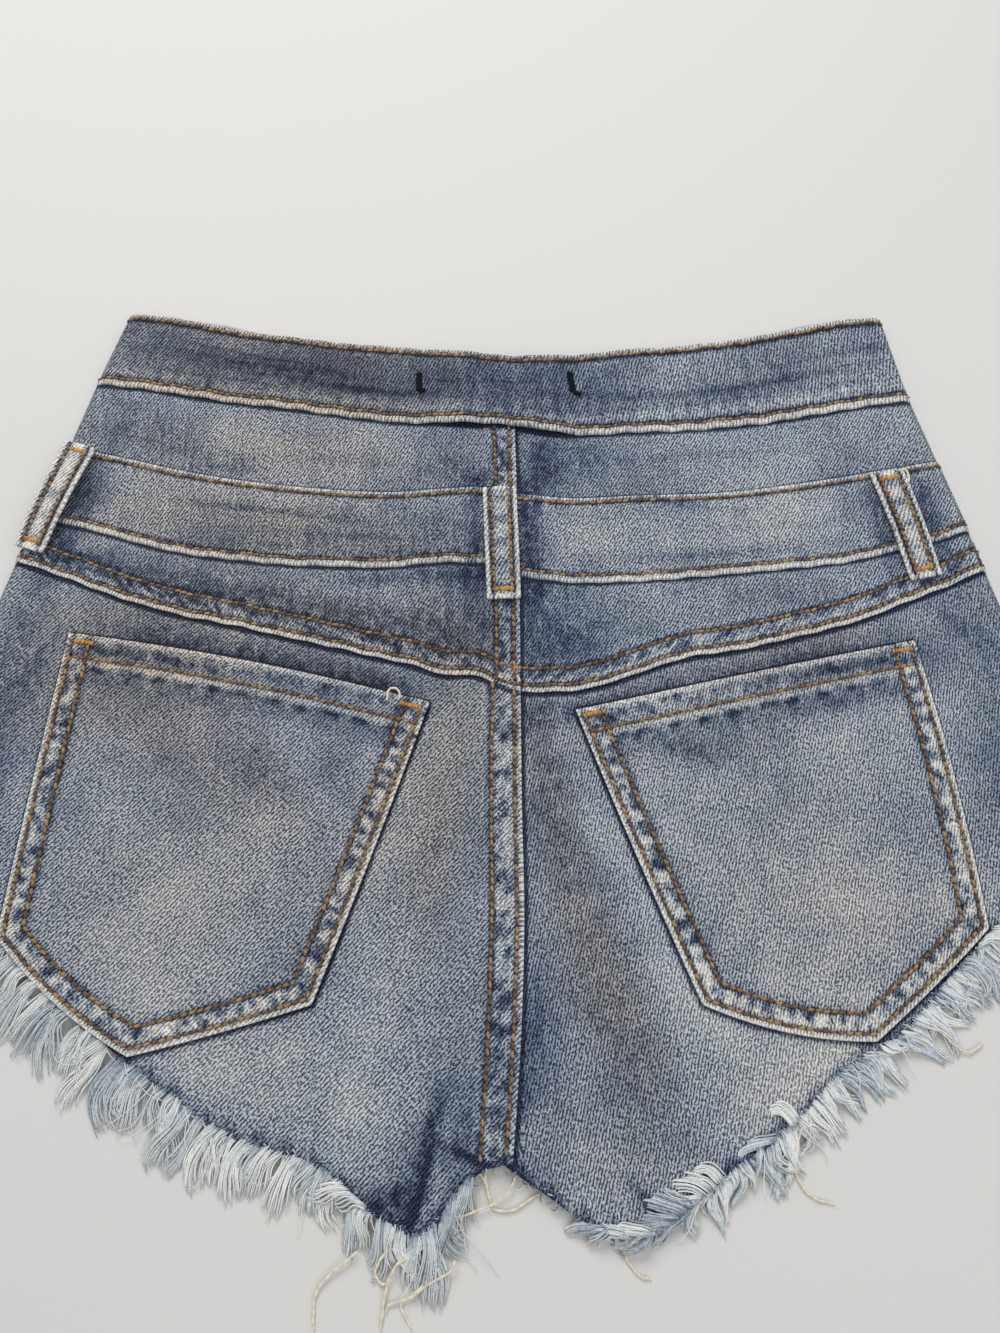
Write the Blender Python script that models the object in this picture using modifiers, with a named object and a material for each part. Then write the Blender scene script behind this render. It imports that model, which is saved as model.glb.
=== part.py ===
"""High-waisted denim shorts with frayed leg openings, laid flat with the back up.

+X is to the right as seen from above, +Y is towards the waist, +Z is up, and the shorts rest on Z = 0.
Left and right are as seen from above, which is also the wearer's left and right. Sizes are in
millimetres until a mesh is made. The back pieces meet along level lines, wrap round the side folds and
end at the side seams on the underside, where the flat front pieces take over. Each piece is drawn as its
outer face and given its thickness inwards, towards the inside of the garment.
"""

import math
import random
from collections import namedtuple

import bmesh
import bpy
import numpy as np
from mathutils import Vector

MM = 0.001
LEFT, RIGHT = -1, 1
SIDE_NAMES = {LEFT: "left", RIGHT: "right"}

# Cloth and layers
DENIM = 1.1  # one ply of the panels
WAISTBAND = 1.8  # two plies, pressed
MID_BAND = 2.0  # two plies over the yokes' seam allowances
GAP = 0.3  # between layers that touch
SEAM_GAP = 0.55  # between edges that meet, measured along Y
LAID_GAP = 0.45  # under a piece that lies on curved cloth
PLY_LIFT = 1.1  # a seam's second ply
BACK_TOP = 2 * DENIM + GAP  # outer face of the back where it lies plain on the front
BAND_TOP = 2 * WAISTBAND + GAP
FOLD_TOP = 4.4  # height of the springy fold at the sides
BAND_FOLD_TOP = 4.9
FOLD_REACH = 10.0  # how far in from the side the fold's roundness fades
SIDE_TURN = 13.0  # from the side fold to the side seam on the underside
SIDE_SEAM_GAP = 0.7
FELL = 12.5  # width of a felled seam
FELL_STEP = 1.6  # run over which a second ply rises
ARC_STEPS = 5

# Shares of the way from the centre back seam to the side fold where every level line has a corner. The
# first two past the seam bound the second ply of a lapped centre back.
KNOTS = (0.0, 0.0625, 0.071, 0.125, 0.1875, 0.25, 0.3125, 0.375, 0.5, 0.625, 0.75, 0.875, 0.95, 1.0)
LAP_KNOTS = 2
EDGE_SHARE = 0.985  # where the back starts to round into the side fold

# Level lines of the back: y at STATIONS, on the same shares
STATIONS = (0.0, 0.125, 0.25, 0.5, 0.75, 0.875, 1.0)
Level = namedtuple("Level", "left right")
LEVELS = {
    "waist": Level((141, 143.5, 147, 152, 159, 164, 165), (141, 142, 146, 150, 157.5, 162.5, 163)),
    "band_seam": Level(
        (108, 109.5, 111, 117.5, 124, 128.5, 129.5), (108, 104.5, 106, 108.5, 115, 119.5, 121)
    ),
    "band_top": Level((75, 76.5, 75.5, 78.5, 86.5, 92.5, 97.5), (74, 71.5, 72.5, 74, 81, 86, 90)),
    "band_foot": Level((43, 44.5, 43, 44.5, 52, 59.5, 65), (38, 35.5, 36.5, 40.5, 46.5, 52.5, 59)),
    "yoke": Level((-12, -4, 2, 14, 26.5, 36, 45), (-12, -11, -5, 7.5, 21, 31, 41)),
}

# Outermost x of the side fold at heights y, as a row for each
SideFold = namedtuple("SideFold", "y left right")
SIDE_FOLDS = (
    SideFold(165, -167, 171),
    SideFold(130, -177, 177),
    SideFold(98, -185, 185),
    SideFold(65, -193, 193.5),
    SideFold(45, -199, 198),
    SideFold(10, -207, 206),
    SideFold(-30, -212, 212),
    SideFold(-60, -211, 211),
    SideFold(-90, -206, 206),
)

# Centre back seam: x of the folded edge, where the left pieces lap over the right
CentreBack = namedtuple("CentreBack", "y x")
CENTRE_BACK = (
    CentreBack(110, 6),
    CentreBack(40, 7.5),
    CentreBack(-60, 8),
    CentreBack(-100, 8.5),
    CentreBack(-140, 7),
    CentreBack(-180, 4),
)

# Cut edge of each leg opening, from the crotch out to the side fold
HemPoint = namedtuple("HemPoint", "x y")
HEMS = {
    LEFT: (
        HemPoint(4, -179),
        HemPoint(-7, -182),
        HemPoint(-14, -188),
        HemPoint(-21, -197),
        HemPoint(-28, -201),
        HemPoint(-36, -197.5),
        HemPoint(-46, -192),
        HemPoint(-55, -184.5),
        HemPoint(-74, -176.5),
        HemPoint(-90, -172),
        HemPoint(-117, -156),
        HemPoint(-148, -135),
        HemPoint(-170, -116.5),
        HemPoint(-190, -99),
        HemPoint(-206, -87),
    ),
    RIGHT: (
        HemPoint(4, -180),
        HemPoint(10, -184),
        HemPoint(18, -189),
        HemPoint(27, -195),
        HemPoint(36, -199),
        HemPoint(48, -201),
        HemPoint(59, -197),
        HemPoint(70, -189),
        HemPoint(88, -176.5),
        HemPoint(103, -166),
        HemPoint(120, -150),
        HemPoint(142, -138),
        HemPoint(160, -121),
        HemPoint(181, -101.5),
        HemPoint(206, -87),
    ),
}

# Soft swells of the back: centre, half lengths along and across, turn of the long way from +X, height
Swell = namedtuple("Swell", "x y along across turn height")
SWELLS = (
    Swell(-100, -50, 85, 60, 70, 1.0),
    Swell(105, -55, 85, 60, -70, 1.1),
    Swell(-60, 70, 95, 42, 4, 0.7),
    Swell(85, 66, 95, 42, 6, 0.8),
    Swell(-24, -160, 55, 14, 68, 1.5),
    Swell(40, -172, 48, 20, -48, 1.3),
    Swell(-52, -168, 42, 16, 118, 0.8),
    Swell(96, -150, 50, 20, 30, 0.6),
)

# Rise of the back over the fly's overlap, and over the button in the waistband
FLY_RISE = 1.6
BAND_OVERLAP_RISE = 2.2
HUMP_FLAT, HUMP_EDGE = 21.0, 52.0
BUTTON_AT = (2.0, 123.4)
BUTTON_RADIUS = 7.5
BUTTON_HEAD = 1.4
BUTTON_RISE = BUTTON_HEAD + GAP
DIMPLE_FLAT, DIMPLE_EDGE = 8.6, 12.5  # the band is pressed in round the button, from its middle
BACK_RISE_FLAT, BACK_RISE_EDGE = 17.0, 32.0  # and the back band rides over that

# Front, on the underside
FRONT_SHIFT = {"waist": -4.0, "band_seam": 1.5}  # y of the front's lines at the centre, from the back's
FRONT_SEAM_GAP = 0.7
FRONT_LEVEL_REACH = 20.0  # how far in from the side fold the front's lines stay level with the back's
FRONT_HEM_RISE = 8.0
FLY_FOOT, FLY_END = -20.0, -60.0  # the fly's width runs down to FLY_FOOT and narrows to FLY_END
FLY_OUTER = (18.0, 7.0)  # x of the outer edge, above and below
FLY_INNER = (-14.0, -3.0)
FLY_RAMP = (3.0, 23.0)  # past the outer edge, where the inner ply climbs over the outer one
BAND_RAMP = (24.0, 50.0)  # where the waistband's button end climbs over its buttonhole end
# Places along the waistband's front stretch: from its buttonhole end to the left fold, and from the right
# fold to its button end
FRONT_XS_LEFT = (20, 14.5, 10.6, 2, -6.6, -10.5, -28, -50, -78, -105, -130, -158)
FRONT_XS_RIGHT = (158, 130, 105, 78, 58, 50, 37, 24, 14.5, 10.6, 2, -6.6, -10.5, -18)
FLY_COLUMNS = {LEFT: 6, RIGHT: 8}
BAND_ROWS = (0.0, 0.05, 0.19, 0.5, 0.81, 0.95, 1.0)
FRONT_HEM_REACH = 206.0

# Back pockets: corners in plan
Pocket = namedtuple("Pocket", "top_in top_out low_in tip low_out tip_share")
POCKETS = {
    LEFT: Pocket((-28, -17), (-172, 13), (-67, -128), (-130, -145), (-182, -105), 0.56),
    RIGHT: Pocket((30, -20), (165, 9), (72, -128), (132, -140), (177, -102), 0.58),
}
POCKET_HEM = 11.0
POCKET_BORDER = 8.0
HEM_LIFT = 0.8
BORDER_LIFT = 0.5
POCKET_BOW = 2.5

# Belt loops: middle of the upper and lower end, width at each
BeltLoop = namedtuple("BeltLoop", "top foot top_width foot_width")
BELT_LOOPS = {
    "belt_loop_centre": BeltLoop((0.5, 77), (2.0, 27), 14.0, 12.5),
    "belt_loop_left": BeltLoop((-178.5, 97), (-193.0, 49), 13.0, 12.0),
    "belt_loop_right": BeltLoop((163.5, 86), (173.5, 37), 14.0, 12.0),
}
LOOP_PLY = 1.5
# Height of a loop's underside over what it lies on: tacked at both ends, free in between
LoopRise = namedtuple("LoopRise", "share rise")
LOOP_RISES = (
    LoopRise(0.0, 0.65),
    LoopRise(0.12, 0.9),
    LoopRise(0.3, 1.6),
    LoopRise(0.55, 1.9),
    LoopRise(0.75, 1.4),
    LoopRise(0.9, 0.8),
    LoopRise(1.0, 0.65),
)
LOOP_EDGE_DROP = 0.2
LOOP_REACH = 3.5  # what lies this near along the loop lifts it too

# Fringe of the cut edges: share of the way out, length, and lean from straight down towards the side
Lock = namedtuple("Lock", "share length lean")
BACK_LOCKS = {
    LEFT: (
        Lock(0.0, 14, 10),
        Lock(0.08, 21, -6),
        Lock(0.15, 25, -2),
        Lock(0.25, 21, 4),
        Lock(0.4, 21, 8),
        Lock(0.55, 25, 10),
        Lock(0.7, 28, 14),
        Lock(0.85, 24, 22),
        Lock(1.0, 16, 42),
    ),
    RIGHT: (
        Lock(0.0, 6, 0),
        Lock(0.14, 8, -12),
        Lock(0.25, 12, 2),
        Lock(0.36, 21, 10),
        Lock(0.5, 20, 16),
        Lock(0.65, 24, 18),
        Lock(0.8, 26, 24),
        Lock(1.0, 16, 42),
    ),
}
FRONT_LOCKS = (Lock(0.0, 9, 2), Lock(0.5, 14, 10), Lock(1.0, 12, 32))
Fringe = namedtuple("Fringe", "panel locks count segments seed")
FRINGES = {
    "fringe_back_left": Fringe(("back_panel", LEFT), BACK_LOCKS[LEFT], 60, 3, 4),
    "fringe_back_right": Fringe(("back_panel", RIGHT), BACK_LOCKS[RIGHT], 60, 3, 6),
    "fringe_front_left": Fringe(("front_panel", LEFT), FRONT_LOCKS, 28, 2, 14),
    "fringe_front_right": Fringe(("front_panel", RIGHT), FRONT_LOCKS, 28, 2, 16),
}
HEM_GAP = 0.45
EDGE_REACH = 0.9  # the strip clears the cut edge within this distance along X
BACKING = 2.4  # width of the strip that the locks grow from
FRINGE_PLY = 0.9
FRINGE_SINK = 0.1  # of the back's strip below the cloth's face
LOCK_WIDTH_SHARE = 0.52  # of the pitch
LOCK_TIP_HEIGHT = 0.9
LOCK_TAPER = 0.5
FRINGE_START = {LEFT: 0.035, RIGHT: 0.12}  # share of the way out; the inner thigh's fold has no fringe
FRINGE_END = 0.985
CROTCH_Y = -180.0

MATERIALS = {
    "denim": ((0.20, 0.27, 0.36), 0.85, 0.0),
    "washed_denim": ((0.27, 0.34, 0.43), 0.85, 0.0),
    "fringe": ((0.55, 0.62, 0.70), 0.9, 0.0),
    "button": ((0.45, 0.33, 0.20), 0.35, 1.0),
}


def smooth_through(xs, ys, at):
    """Value at `at` of the smooth curve through a table's points, held level beyond its ends."""
    xs = np.asarray(xs, float)
    ys = np.asarray(ys, float)
    at = np.clip(at, xs[0], xs[-1])
    slopes = np.gradient(ys, xs)
    i = int(np.clip(np.searchsorted(xs, at) - 1, 0, len(xs) - 2))
    span = xs[i + 1] - xs[i]
    t = (at - xs[i]) / span
    start = (2 * t**3 - 3 * t**2 + 1) * ys[i] + (t**3 - 2 * t**2 + t) * span * slopes[i]
    end = (3 * t**2 - 2 * t**3) * ys[i + 1] + (t**3 - t**2) * span * slopes[i + 1]
    return float(start + end)


def smooth_step(value):
    t = min(max(value, 0.0), 1.0)
    return t * t * (3 - 2 * t)


def mix(a, b, share):
    return a + (b - a) * share


def side_x(half, y):
    rows = sorted(SIDE_FOLDS, key=lambda row: row.y)
    column = [row.left if half == LEFT else row.right for row in rows]
    return smooth_through([row.y for row in rows], column, y)


def seam_x(y):
    rows = sorted(CENTRE_BACK, key=lambda row: row.y)
    return smooth_through([row.y for row in rows], [row.x for row in rows], y)


def level_y(name, half, share):
    """A level line's y: straight between knots that lie on the smooth curve through its stations."""
    values = LEVELS[name].left if half == LEFT else LEVELS[name].right
    return float(np.interp(share, KNOTS, [smooth_through(STATIONS, values, knot) for knot in KNOTS]))


def hem_y(half, share):
    """The cut edge's y at a share of the way, in x, from the crotch to the side fold."""
    points = HEMS[half]
    x = mix(points[0].x, points[-1].x, share)
    return smooth_through([half * point.x for point in points], [point.y for point in points], half * x)


def line_y(name, half, share):
    return hem_y(half, share) if name == "hem" else level_y(name, half, share)


def fade(distance, flat, edge):
    return smooth_step((edge - abs(distance)) / (edge - flat))


def button_dimple(x, y):
    across = fade(x - BUTTON_AT[0], DIMPLE_FLAT, DIMPLE_EDGE)
    return BUTTON_RISE * across * fade(y - BUTTON_AT[1], DIMPLE_FLAT, DIMPLE_EDGE)


def swell(x, y):
    height = 0.0
    for row in SWELLS:
        turn = math.radians(row.turn)
        along = (x - row.x) * math.cos(turn) + (y - row.y) * math.sin(turn)
        across = (y - row.y) * math.cos(turn) - (x - row.x) * math.sin(turn)
        height += row.height * math.exp(-((along / row.along) ** 2) - (across / row.across) ** 2)
    return height


def to_fold(height, fold_top, x, y, radius):
    """The plain height led up to the round fold's height near the side."""
    half = LEFT if x < 0 else RIGHT
    inward = max(0.0, abs(side_x(half, y)) - radius - abs(x))
    return mix(height, fold_top, math.exp(-((inward / FOLD_REACH) ** 2)))


def back_height(x, y):
    """Outer face of the single-ply back at a place in plan."""
    plain = BACK_TOP + FLY_RISE * fade(x, HUMP_FLAT, HUMP_EDGE) + swell(x, y)
    return to_fold(plain, FOLD_TOP, x, y, FOLD_TOP / 2)


def band_height(x, y):
    plain = BAND_TOP + BAND_OVERLAP_RISE * fade(x, HUMP_FLAT, HUMP_EDGE)
    plain += BUTTON_RISE * fade(x - BUTTON_AT[0], BACK_RISE_FLAT, BACK_RISE_EDGE)
    return to_fold(plain, BAND_FOLD_TOP, x, y, BAND_FOLD_TOP / 2)


def material(name):
    found = bpy.data.materials.get(name)
    if found:
        return found
    colour, roughness, metallic = MATERIALS[name]
    made = bpy.data.materials.new(name)
    made.use_nodes = True
    shader = made.node_tree.nodes["Principled BSDF"]
    shader.inputs["Base Color"].default_value = (*colour, 1.0)
    shader.inputs["Roughness"].default_value = roughness
    shader.inputs["Metallic"].default_value = metallic
    return made


def add_object(name, mesh, material_name):
    made = bpy.data.objects.new(name, mesh)
    parts.objects.link(made)
    mesh.materials.append(material(material_name))
    return made


def cloth(name, grid, thickness, material_name, flip=False):
    """A piece of cloth from a grid of points on its outer face, thickened inwards."""
    shape = bmesh.new()
    rows = [[shape.verts.new(Vector(point) * MM) for point in row] for row in grid]
    for upper, lower in zip(rows, rows[1:]):
        for i in range(len(upper) - 1):
            corners = (lower[i], lower[i + 1], upper[i + 1], upper[i])
            shape.faces.new(corners[::-1] if flip else corners)
    mesh = bpy.data.meshes.new(name)
    shape.to_mesh(mesh)
    shape.free()
    made = add_object(name, mesh, material_name)
    wall = made.modifiers.new("wall", "SOLIDIFY")
    wall.thickness = thickness * MM
    wall.offset = -1
    return made


# A row of a back piece's grid: share of its plain stretch, distance past it towards the lower edge, and
# the second ply's lift
Row = namedtuple("Row", "share past lift")
FELLED_ROWS = (Row(1.0, FELL_STEP, PLY_LIFT), Row(1.0, FELL, PLY_LIFT))
HEM_SHARES = (0.03, 0.09, 0.105, 0.145, 0.165, 0.21, 0.23, 0.28, 0.34, 0.44, 0.56, 0.69, 0.81)


def plain_rows(*values):
    return tuple(Row(value, 0.0, 0.0) for value in values)


def back_grid(half, upper, lower, rows, columns, lapped, extra_lift):
    """Outer face of a back piece between two level lines, round the side fold to the side seam."""
    fell = max(row.past for row in rows)
    grid = []
    for row in rows:

        def y_at(share):
            top = line_y(upper, half, share) - SEAM_GAP / 2
            foot = line_y(lower, half, share) + SEAM_GAP / 2 + fell
            return mix(top, foot, row.share) - row.past

        radius = (FOLD_TOP + extra_lift + row.lift) / 2
        fold_y = y_at(EDGE_SHARE)
        near_x = seam_x(y_at(0.0)) + half * GAP / 2
        far_x = side_x(half, fold_y)
        edge_x = far_x - half * radius
        points = []
        for share in columns[:-1]:
            x = mix(near_x, far_x, share)
            y = y_at(share)
            ply = PLY_LIFT if lapped and share <= KNOTS[1] else row.lift
            height = back_height(x, y) + ply + extra_lift
            points.append((x, y, to_fold(height, 2 * radius, x, y, radius)))
        points += fold_arc(half, (edge_x, fold_y), radius, upward=False)
        turn = SIDE_TURN + FOLD_TOP / 2 - radius
        points.append((edge_x - half * turn, fold_y, 0.0))
        grid.append(points)
    return grid


def edge_line(points, half, count):
    """The cut edge of a panel in plan, from the crotch outwards, as the grid's last row draws it."""
    return sorted(((x, y) for x, y, _ in points[:count]), key=lambda point: half * point[0])


def back_piece(name, half, upper, lower, rows, thickness=DENIM, lapped=True, columns=KNOTS):
    """One half of a back piece; on the left its centre edge laps over the right and is two plies."""
    lapped = lapped and half == LEFT
    if not lapped:
        columns = [share for share in columns if share not in KNOTS[LAP_KNOTS:LAP_KNOTS + 1]]
    grid = back_grid(half, upper, lower, rows, columns, lapped, thickness - DENIM)
    cut_edges[name, half] = edge_line(grid[-1], half, len(columns))
    cloth(f"{name}_{SIDE_NAMES[half]}", grid, thickness, "washed_denim", flip=half == LEFT)


def make_back(half):
    back_piece("upper_yoke", half, "band_seam", "band_top", plain_rows(0.0, 0.33, 0.67, 1.0))
    back_piece(
        "mid_band", half, "band_top", "band_foot", plain_rows(0.0, 0.33, 0.67, 1.0),
        thickness=MID_BAND, lapped=False,
    )
    back_piece("lower_yoke", half, "band_foot", "yoke", plain_rows(0.0, 0.5, 1.0) + FELLED_ROWS)
    panel_rows = plain_rows(0.0, 0.08, 0.16, 0.25, 0.34, 0.43, 0.52, 0.61, 0.7, 0.79, 0.88, 0.95, 1.0)
    back_piece("back_panel", half, "yoke", "hem", panel_rows, columns=sorted(KNOTS + HEM_SHARES))


def front_y(name, x):
    """A line of the waistband's front stretch: level with the back's at the sides, inside it elsewhere."""
    half = LEFT if x < seam_x(0) else RIGHT
    reach = abs(side_x(half, level_y(name, half, EDGE_SHARE))) - FRONT_LEVEL_REACH
    share = min(1.0, max(0.0, half * (x - seam_x(0)) / reach))
    shift = FRONT_SHIFT[name] * smooth_step((reach - abs(x)) / reach)
    return level_y(name, half, EDGE_SHARE * share) + shift


def band_y(half, share, row):
    return mix(level_y("waist", half, share), level_y("band_seam", half, share) + SEAM_GAP / 2, row)


def front_band_y(x, row):
    return mix(front_y("waist", x), front_y("band_seam", x) + SEAM_GAP / 2, row)


def make_waistband():
    """One strip: buttonhole end, left fold, back, right fold and button end."""
    radius = BAND_FOLD_TOP / 2
    grid = []
    for row in BAND_ROWS:
        edge = {}
        for half in (LEFT, RIGHT):
            y = band_y(half, EDGE_SHARE, row)
            edge[half] = (side_x(half, y) - half * radius, y)
        points = []
        for x in FRONT_XS_LEFT:
            y = front_band_y(x, row)
            points.append((x, y, button_dimple(x, y)))
        points += fold_arc(LEFT, edge[LEFT], radius, upward=True)
        for half, order in ((LEFT, KNOTS[-2::-1]), (RIGHT, KNOTS[1:-1])):
            for share in order:
                y = band_y(half, share, row)
                x = mix(seam_x(y), side_x(half, edge[half][1]), share)
                points.append((x, y, band_height(x, y)))
        points += fold_arc(RIGHT, edge[RIGHT], radius, upward=False)
        for x in FRONT_XS_RIGHT:
            climb = smooth_step((BAND_RAMP[1] - x) / (BAND_RAMP[1] - BAND_RAMP[0]))
            y = front_band_y(x, row)
            points.append((x, y, climb * (WAISTBAND + GAP) + button_dimple(x, y)))
        grid.append(points)
    cloth("waistband", grid, WAISTBAND, "denim")


def fold_arc(half, edge, radius, upward):
    """Half a circle round a side fold, from the underside upwards or from the top downwards."""
    steps = range(ARC_STEPS + 1)
    points = []
    for step in reversed(steps) if upward else steps:
        angle = math.pi * step / ARC_STEPS
        height = 0.0 if step == ARC_STEPS else radius + radius * math.cos(angle)
        points.append((edge[0] + half * radius * math.sin(angle), edge[1], height))
    return points


def fly_x(edges, y):
    return mix(edges[0], edges[1], smooth_step((FLY_FOOT - y) / (FLY_FOOT - FLY_END)))


def front_seam_x(half, y):
    """The side seam on the underside."""
    return side_x(half, y) - half * (FOLD_TOP / 2 + SIDE_TURN + SIDE_SEAM_GAP)


def front_hem_y(half, share):
    return hem_y(half, share) + FRONT_HEM_RISE * (1 - (2 * share - 1) ** 4)


def make_front(half):
    """A front panel, flat on the underside, whose centre edge is the fly's outer or inner ply."""
    band_xs = FRONT_XS_LEFT if half == LEFT else FRONT_XS_RIGHT[::-1]
    far_xs = band_xs[FLY_COLUMNS[half]:]
    widest = max(abs(x) for x in far_xs)
    grid = []
    for row in (0.0, 0.12, 0.25, 0.38, 0.48, 0.56, 0.65, 0.75, 0.84, 0.92, 1.0):
        centre_y = mix(front_y("band_seam", 0), front_hem_y(half, 0.0), row)
        fold_y = mix(front_y("band_seam", half * widest), front_hem_y(half, 0.93), row)
        outer = fly_x(FLY_OUTER, centre_y)
        ramp = [outer + x for x in FLY_RAMP]
        near = [fly_x(FLY_INNER, centre_y), outer, ramp[0], mix(*ramp, 0.5), ramp[1]]
        if half == LEFT:
            near = [outer, mix(outer, -outer, 0.5), -outer]
        seam = front_seam_x(half, fold_y)
        near_share = abs(near[-1]) / widest
        far = [mix(near[-1], seam, (abs(x) / widest - near_share) / (1 - near_share)) for x in far_xs]
        points = []
        for x in near + far:
            top = front_y("band_seam", x) - FRONT_SEAM_GAP
            share = (x - seam_x(centre_y)) / (half * FRONT_HEM_REACH)
            climb = smooth_step((ramp[1] - x) / (ramp[1] - ramp[0])) if half == RIGHT else 0.0
            y = mix(top, front_hem_y(half, min(1.0, max(0.0, share))), row)
            points.append((x, y, climb * (DENIM + GAP)))
        grid.append(points)
    cut_edges["front_panel", half] = edge_line(grid[-1], half, len(grid[-1]))
    cloth(f"front_panel_{SIDE_NAMES[half]}", grid, DENIM, "denim", flip=half == RIGHT)


def pocket_bottom(pocket, share):
    """The pocket's foot: two edges that meet at the tip."""
    if share < pocket.tip_share:
        return Vector(pocket.low_in).lerp(Vector(pocket.tip), share / pocket.tip_share)
    rest = (share - pocket.tip_share) / (1 - pocket.tip_share)
    return Vector(pocket.tip).lerp(Vector(pocket.low_out), rest)


def make_pocket(half):
    pocket = POCKETS[half]
    width = (Vector(pocket.top_out) - Vector(pocket.top_in)).length
    depth = pocket.top_in[1] - pocket.low_in[1]
    border = POCKET_BORDER / width
    step = FELL_STEP / width
    inner = (0.25, 0.4, pocket.tip_share, 0.75)
    columns = (0.0, border, border + step) + inner + (1 - border - step, 1 - border, 1.0)
    hem = POCKET_HEM / depth
    hem_step = FELL_STEP / depth
    foot = POCKET_BORDER / depth
    middle = (0.2, 0.35, 0.5, 0.65, 0.8)
    rows = (0.0, hem, hem + hem_step) + middle + (1 - foot - hem_step, 1 - foot, 1.0)
    grid = []
    for row in rows:
        points = []
        for column in columns:
            top = Vector(pocket.top_in).lerp(Vector(pocket.top_out), column)
            place = top.lerp(pocket_bottom(pocket, column), row)
            place.x += half * POCKET_BOW * math.sin(math.pi * row) * (2 * column - 1) * -0.5
            at_border = column <= border or column >= 1 - border or row >= 1 - foot
            lift = HEM_LIFT if row <= hem else BORDER_LIFT if at_border else 0.0
            z = back_height(place.x, place.y) + LAID_GAP + DENIM + lift
            points.append((place.x, place.y, z))
        grid.append(points)
    cloth(f"pocket_{SIDE_NAMES[half]}", grid, DENIM, "washed_denim", flip=half == LEFT)


def cover_height(x, y):
    """Outer face of whatever back piece lies at a place in plan, with its second ply where it has one."""
    half = LEFT if x < seam_x(y) else RIGHT
    share = abs(x - seam_x(y)) / abs(side_x(half, y) - seam_x(y))
    lift = 0.0
    if level_y("band_foot", half, share) < y < level_y("band_top", half, share):
        lift = MID_BAND - DENIM
    elif half == LEFT and share < KNOTS[LAP_KNOTS]:
        lift = PLY_LIFT
    elif y < level_y("yoke", half, share) + FELL + FELL_STEP:
        lift = PLY_LIFT
    return back_height(x, y) + lift


def make_belt_loop(name):
    loop = BELT_LOOPS[name]
    top, foot = Vector(loop.top), Vector(loop.foot)
    along = (foot - top).normalized()
    across = Vector((-along.y, along.x))
    grid = []
    for row in LOOP_RISES:
        middle = top.lerp(foot, row.share)
        half_width = mix(loop.top_width, loop.foot_width, row.share) / 2
        beneath = [
            middle + across * half_width * side + along * reach
            for side in (-1.0, -0.5, 0.0, 0.5, 1.0) for reach in (-LOOP_REACH, 0.0, LOOP_REACH)
        ]
        height = max(cover_height(*place) for place in beneath) + row.rise + LOOP_PLY
        points = []
        for side in (-1.0, -0.6, 0.6, 1.0):
            place = middle + across * half_width * side
            points.append((place.x, place.y, height - (LOOP_EDGE_DROP if abs(side) == 1.0 else 0.0)))
        grid.append(points)
    cloth(name, grid, LOOP_PLY, "washed_denim")


def make_button():
    bpy.ops.mesh.primitive_cylinder_add(
        vertices=24, radius=BUTTON_RADIUS * MM, depth=BUTTON_HEAD * MM,
        location=Vector((*BUTTON_AT, BUTTON_HEAD / 2)) * MM,
    )
    button = bpy.context.active_object
    button.name = "waist_button"
    button.data.materials.append(material("button"))
    for collection in button.users_collection:
        collection.objects.unlink(button)
    parts.objects.link(button)
    edge = button.modifiers.new("rim", "BEVEL")
    edge.width = 0.4 * MM
    edge.segments = 1


def below_edge(half, edge, x):
    """The lowest y that a panel's cut edge has close to x."""
    xs, ys = zip(*edge)
    near = [x - EDGE_REACH, x, x + EDGE_REACH]
    return float(np.interp([half * value for value in near], [half * value for value in xs], ys).min())


def make_fringe(name):
    """Locks of loose yarn that grow from a narrow strip along a panel's cut edge."""
    fringe = FRINGES[name]
    panel, half = fringe.panel
    edge = cut_edges[fringe.panel]
    dice = random.Random(fringe.seed)
    crotch_x = seam_x(CROTCH_Y)
    x_start = mix(crotch_x, HEMS[half][-1].x, FRINGE_START[half])
    x_end = mix(crotch_x, HEMS[half][-1].x - half * FOLD_TOP, FRINGE_END)
    pitch = (x_end - x_start) / fringe.count
    shape = bmesh.new()
    stations = []
    for i in range(fringe.count):
        stations += [x_start + pitch * i, x_start + pitch * (i + LOCK_WIDTH_SHARE)]
    stations.append(x_end)
    rings = []
    for x in stations:
        y = below_edge(half, edge, x) - HEM_GAP
        top = back_height(x, y) - FRINGE_SINK if panel == "back_panel" else FRINGE_PLY + GAP
        corners = (
            (x, y, top), (x, y, top - FRINGE_PLY),
            (x, y - BACKING, top - FRINGE_PLY), (x, y - BACKING, top),
        )
        rings.append([shape.verts.new(Vector(corner) * MM) for corner in corners])
    roots = []
    for number, (near, far) in enumerate(zip(rings, rings[1:])):
        for i in range(4):
            j = (i + 1) % 4
            face = shape.faces.new((near[i], near[j], far[j], far[i]))
            if i == 2 and number % 2 == 0:
                roots.append((face, number // 2))
    for ring in (rings[0], rings[-1]):
        shape.faces.new(ring)
    bmesh.ops.recalc_face_normals(shape, faces=shape.faces)
    for face, number in roots:
        share = (number + 0.5) / fringe.count
        columns = list(zip(*fringe.locks))
        length = smooth_through(columns[0], columns[1], share) * dice.uniform(0.72, 1.12)
        lean = math.radians(smooth_through(columns[0], columns[2], share) + dice.uniform(-2.0, 2.0))
        grow_lock(shape, face, half, length, lean, fringe.segments)
    mesh = bpy.data.meshes.new(name)
    shape.to_mesh(mesh)
    shape.free()
    add_object(name, mesh, "fringe")


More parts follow.
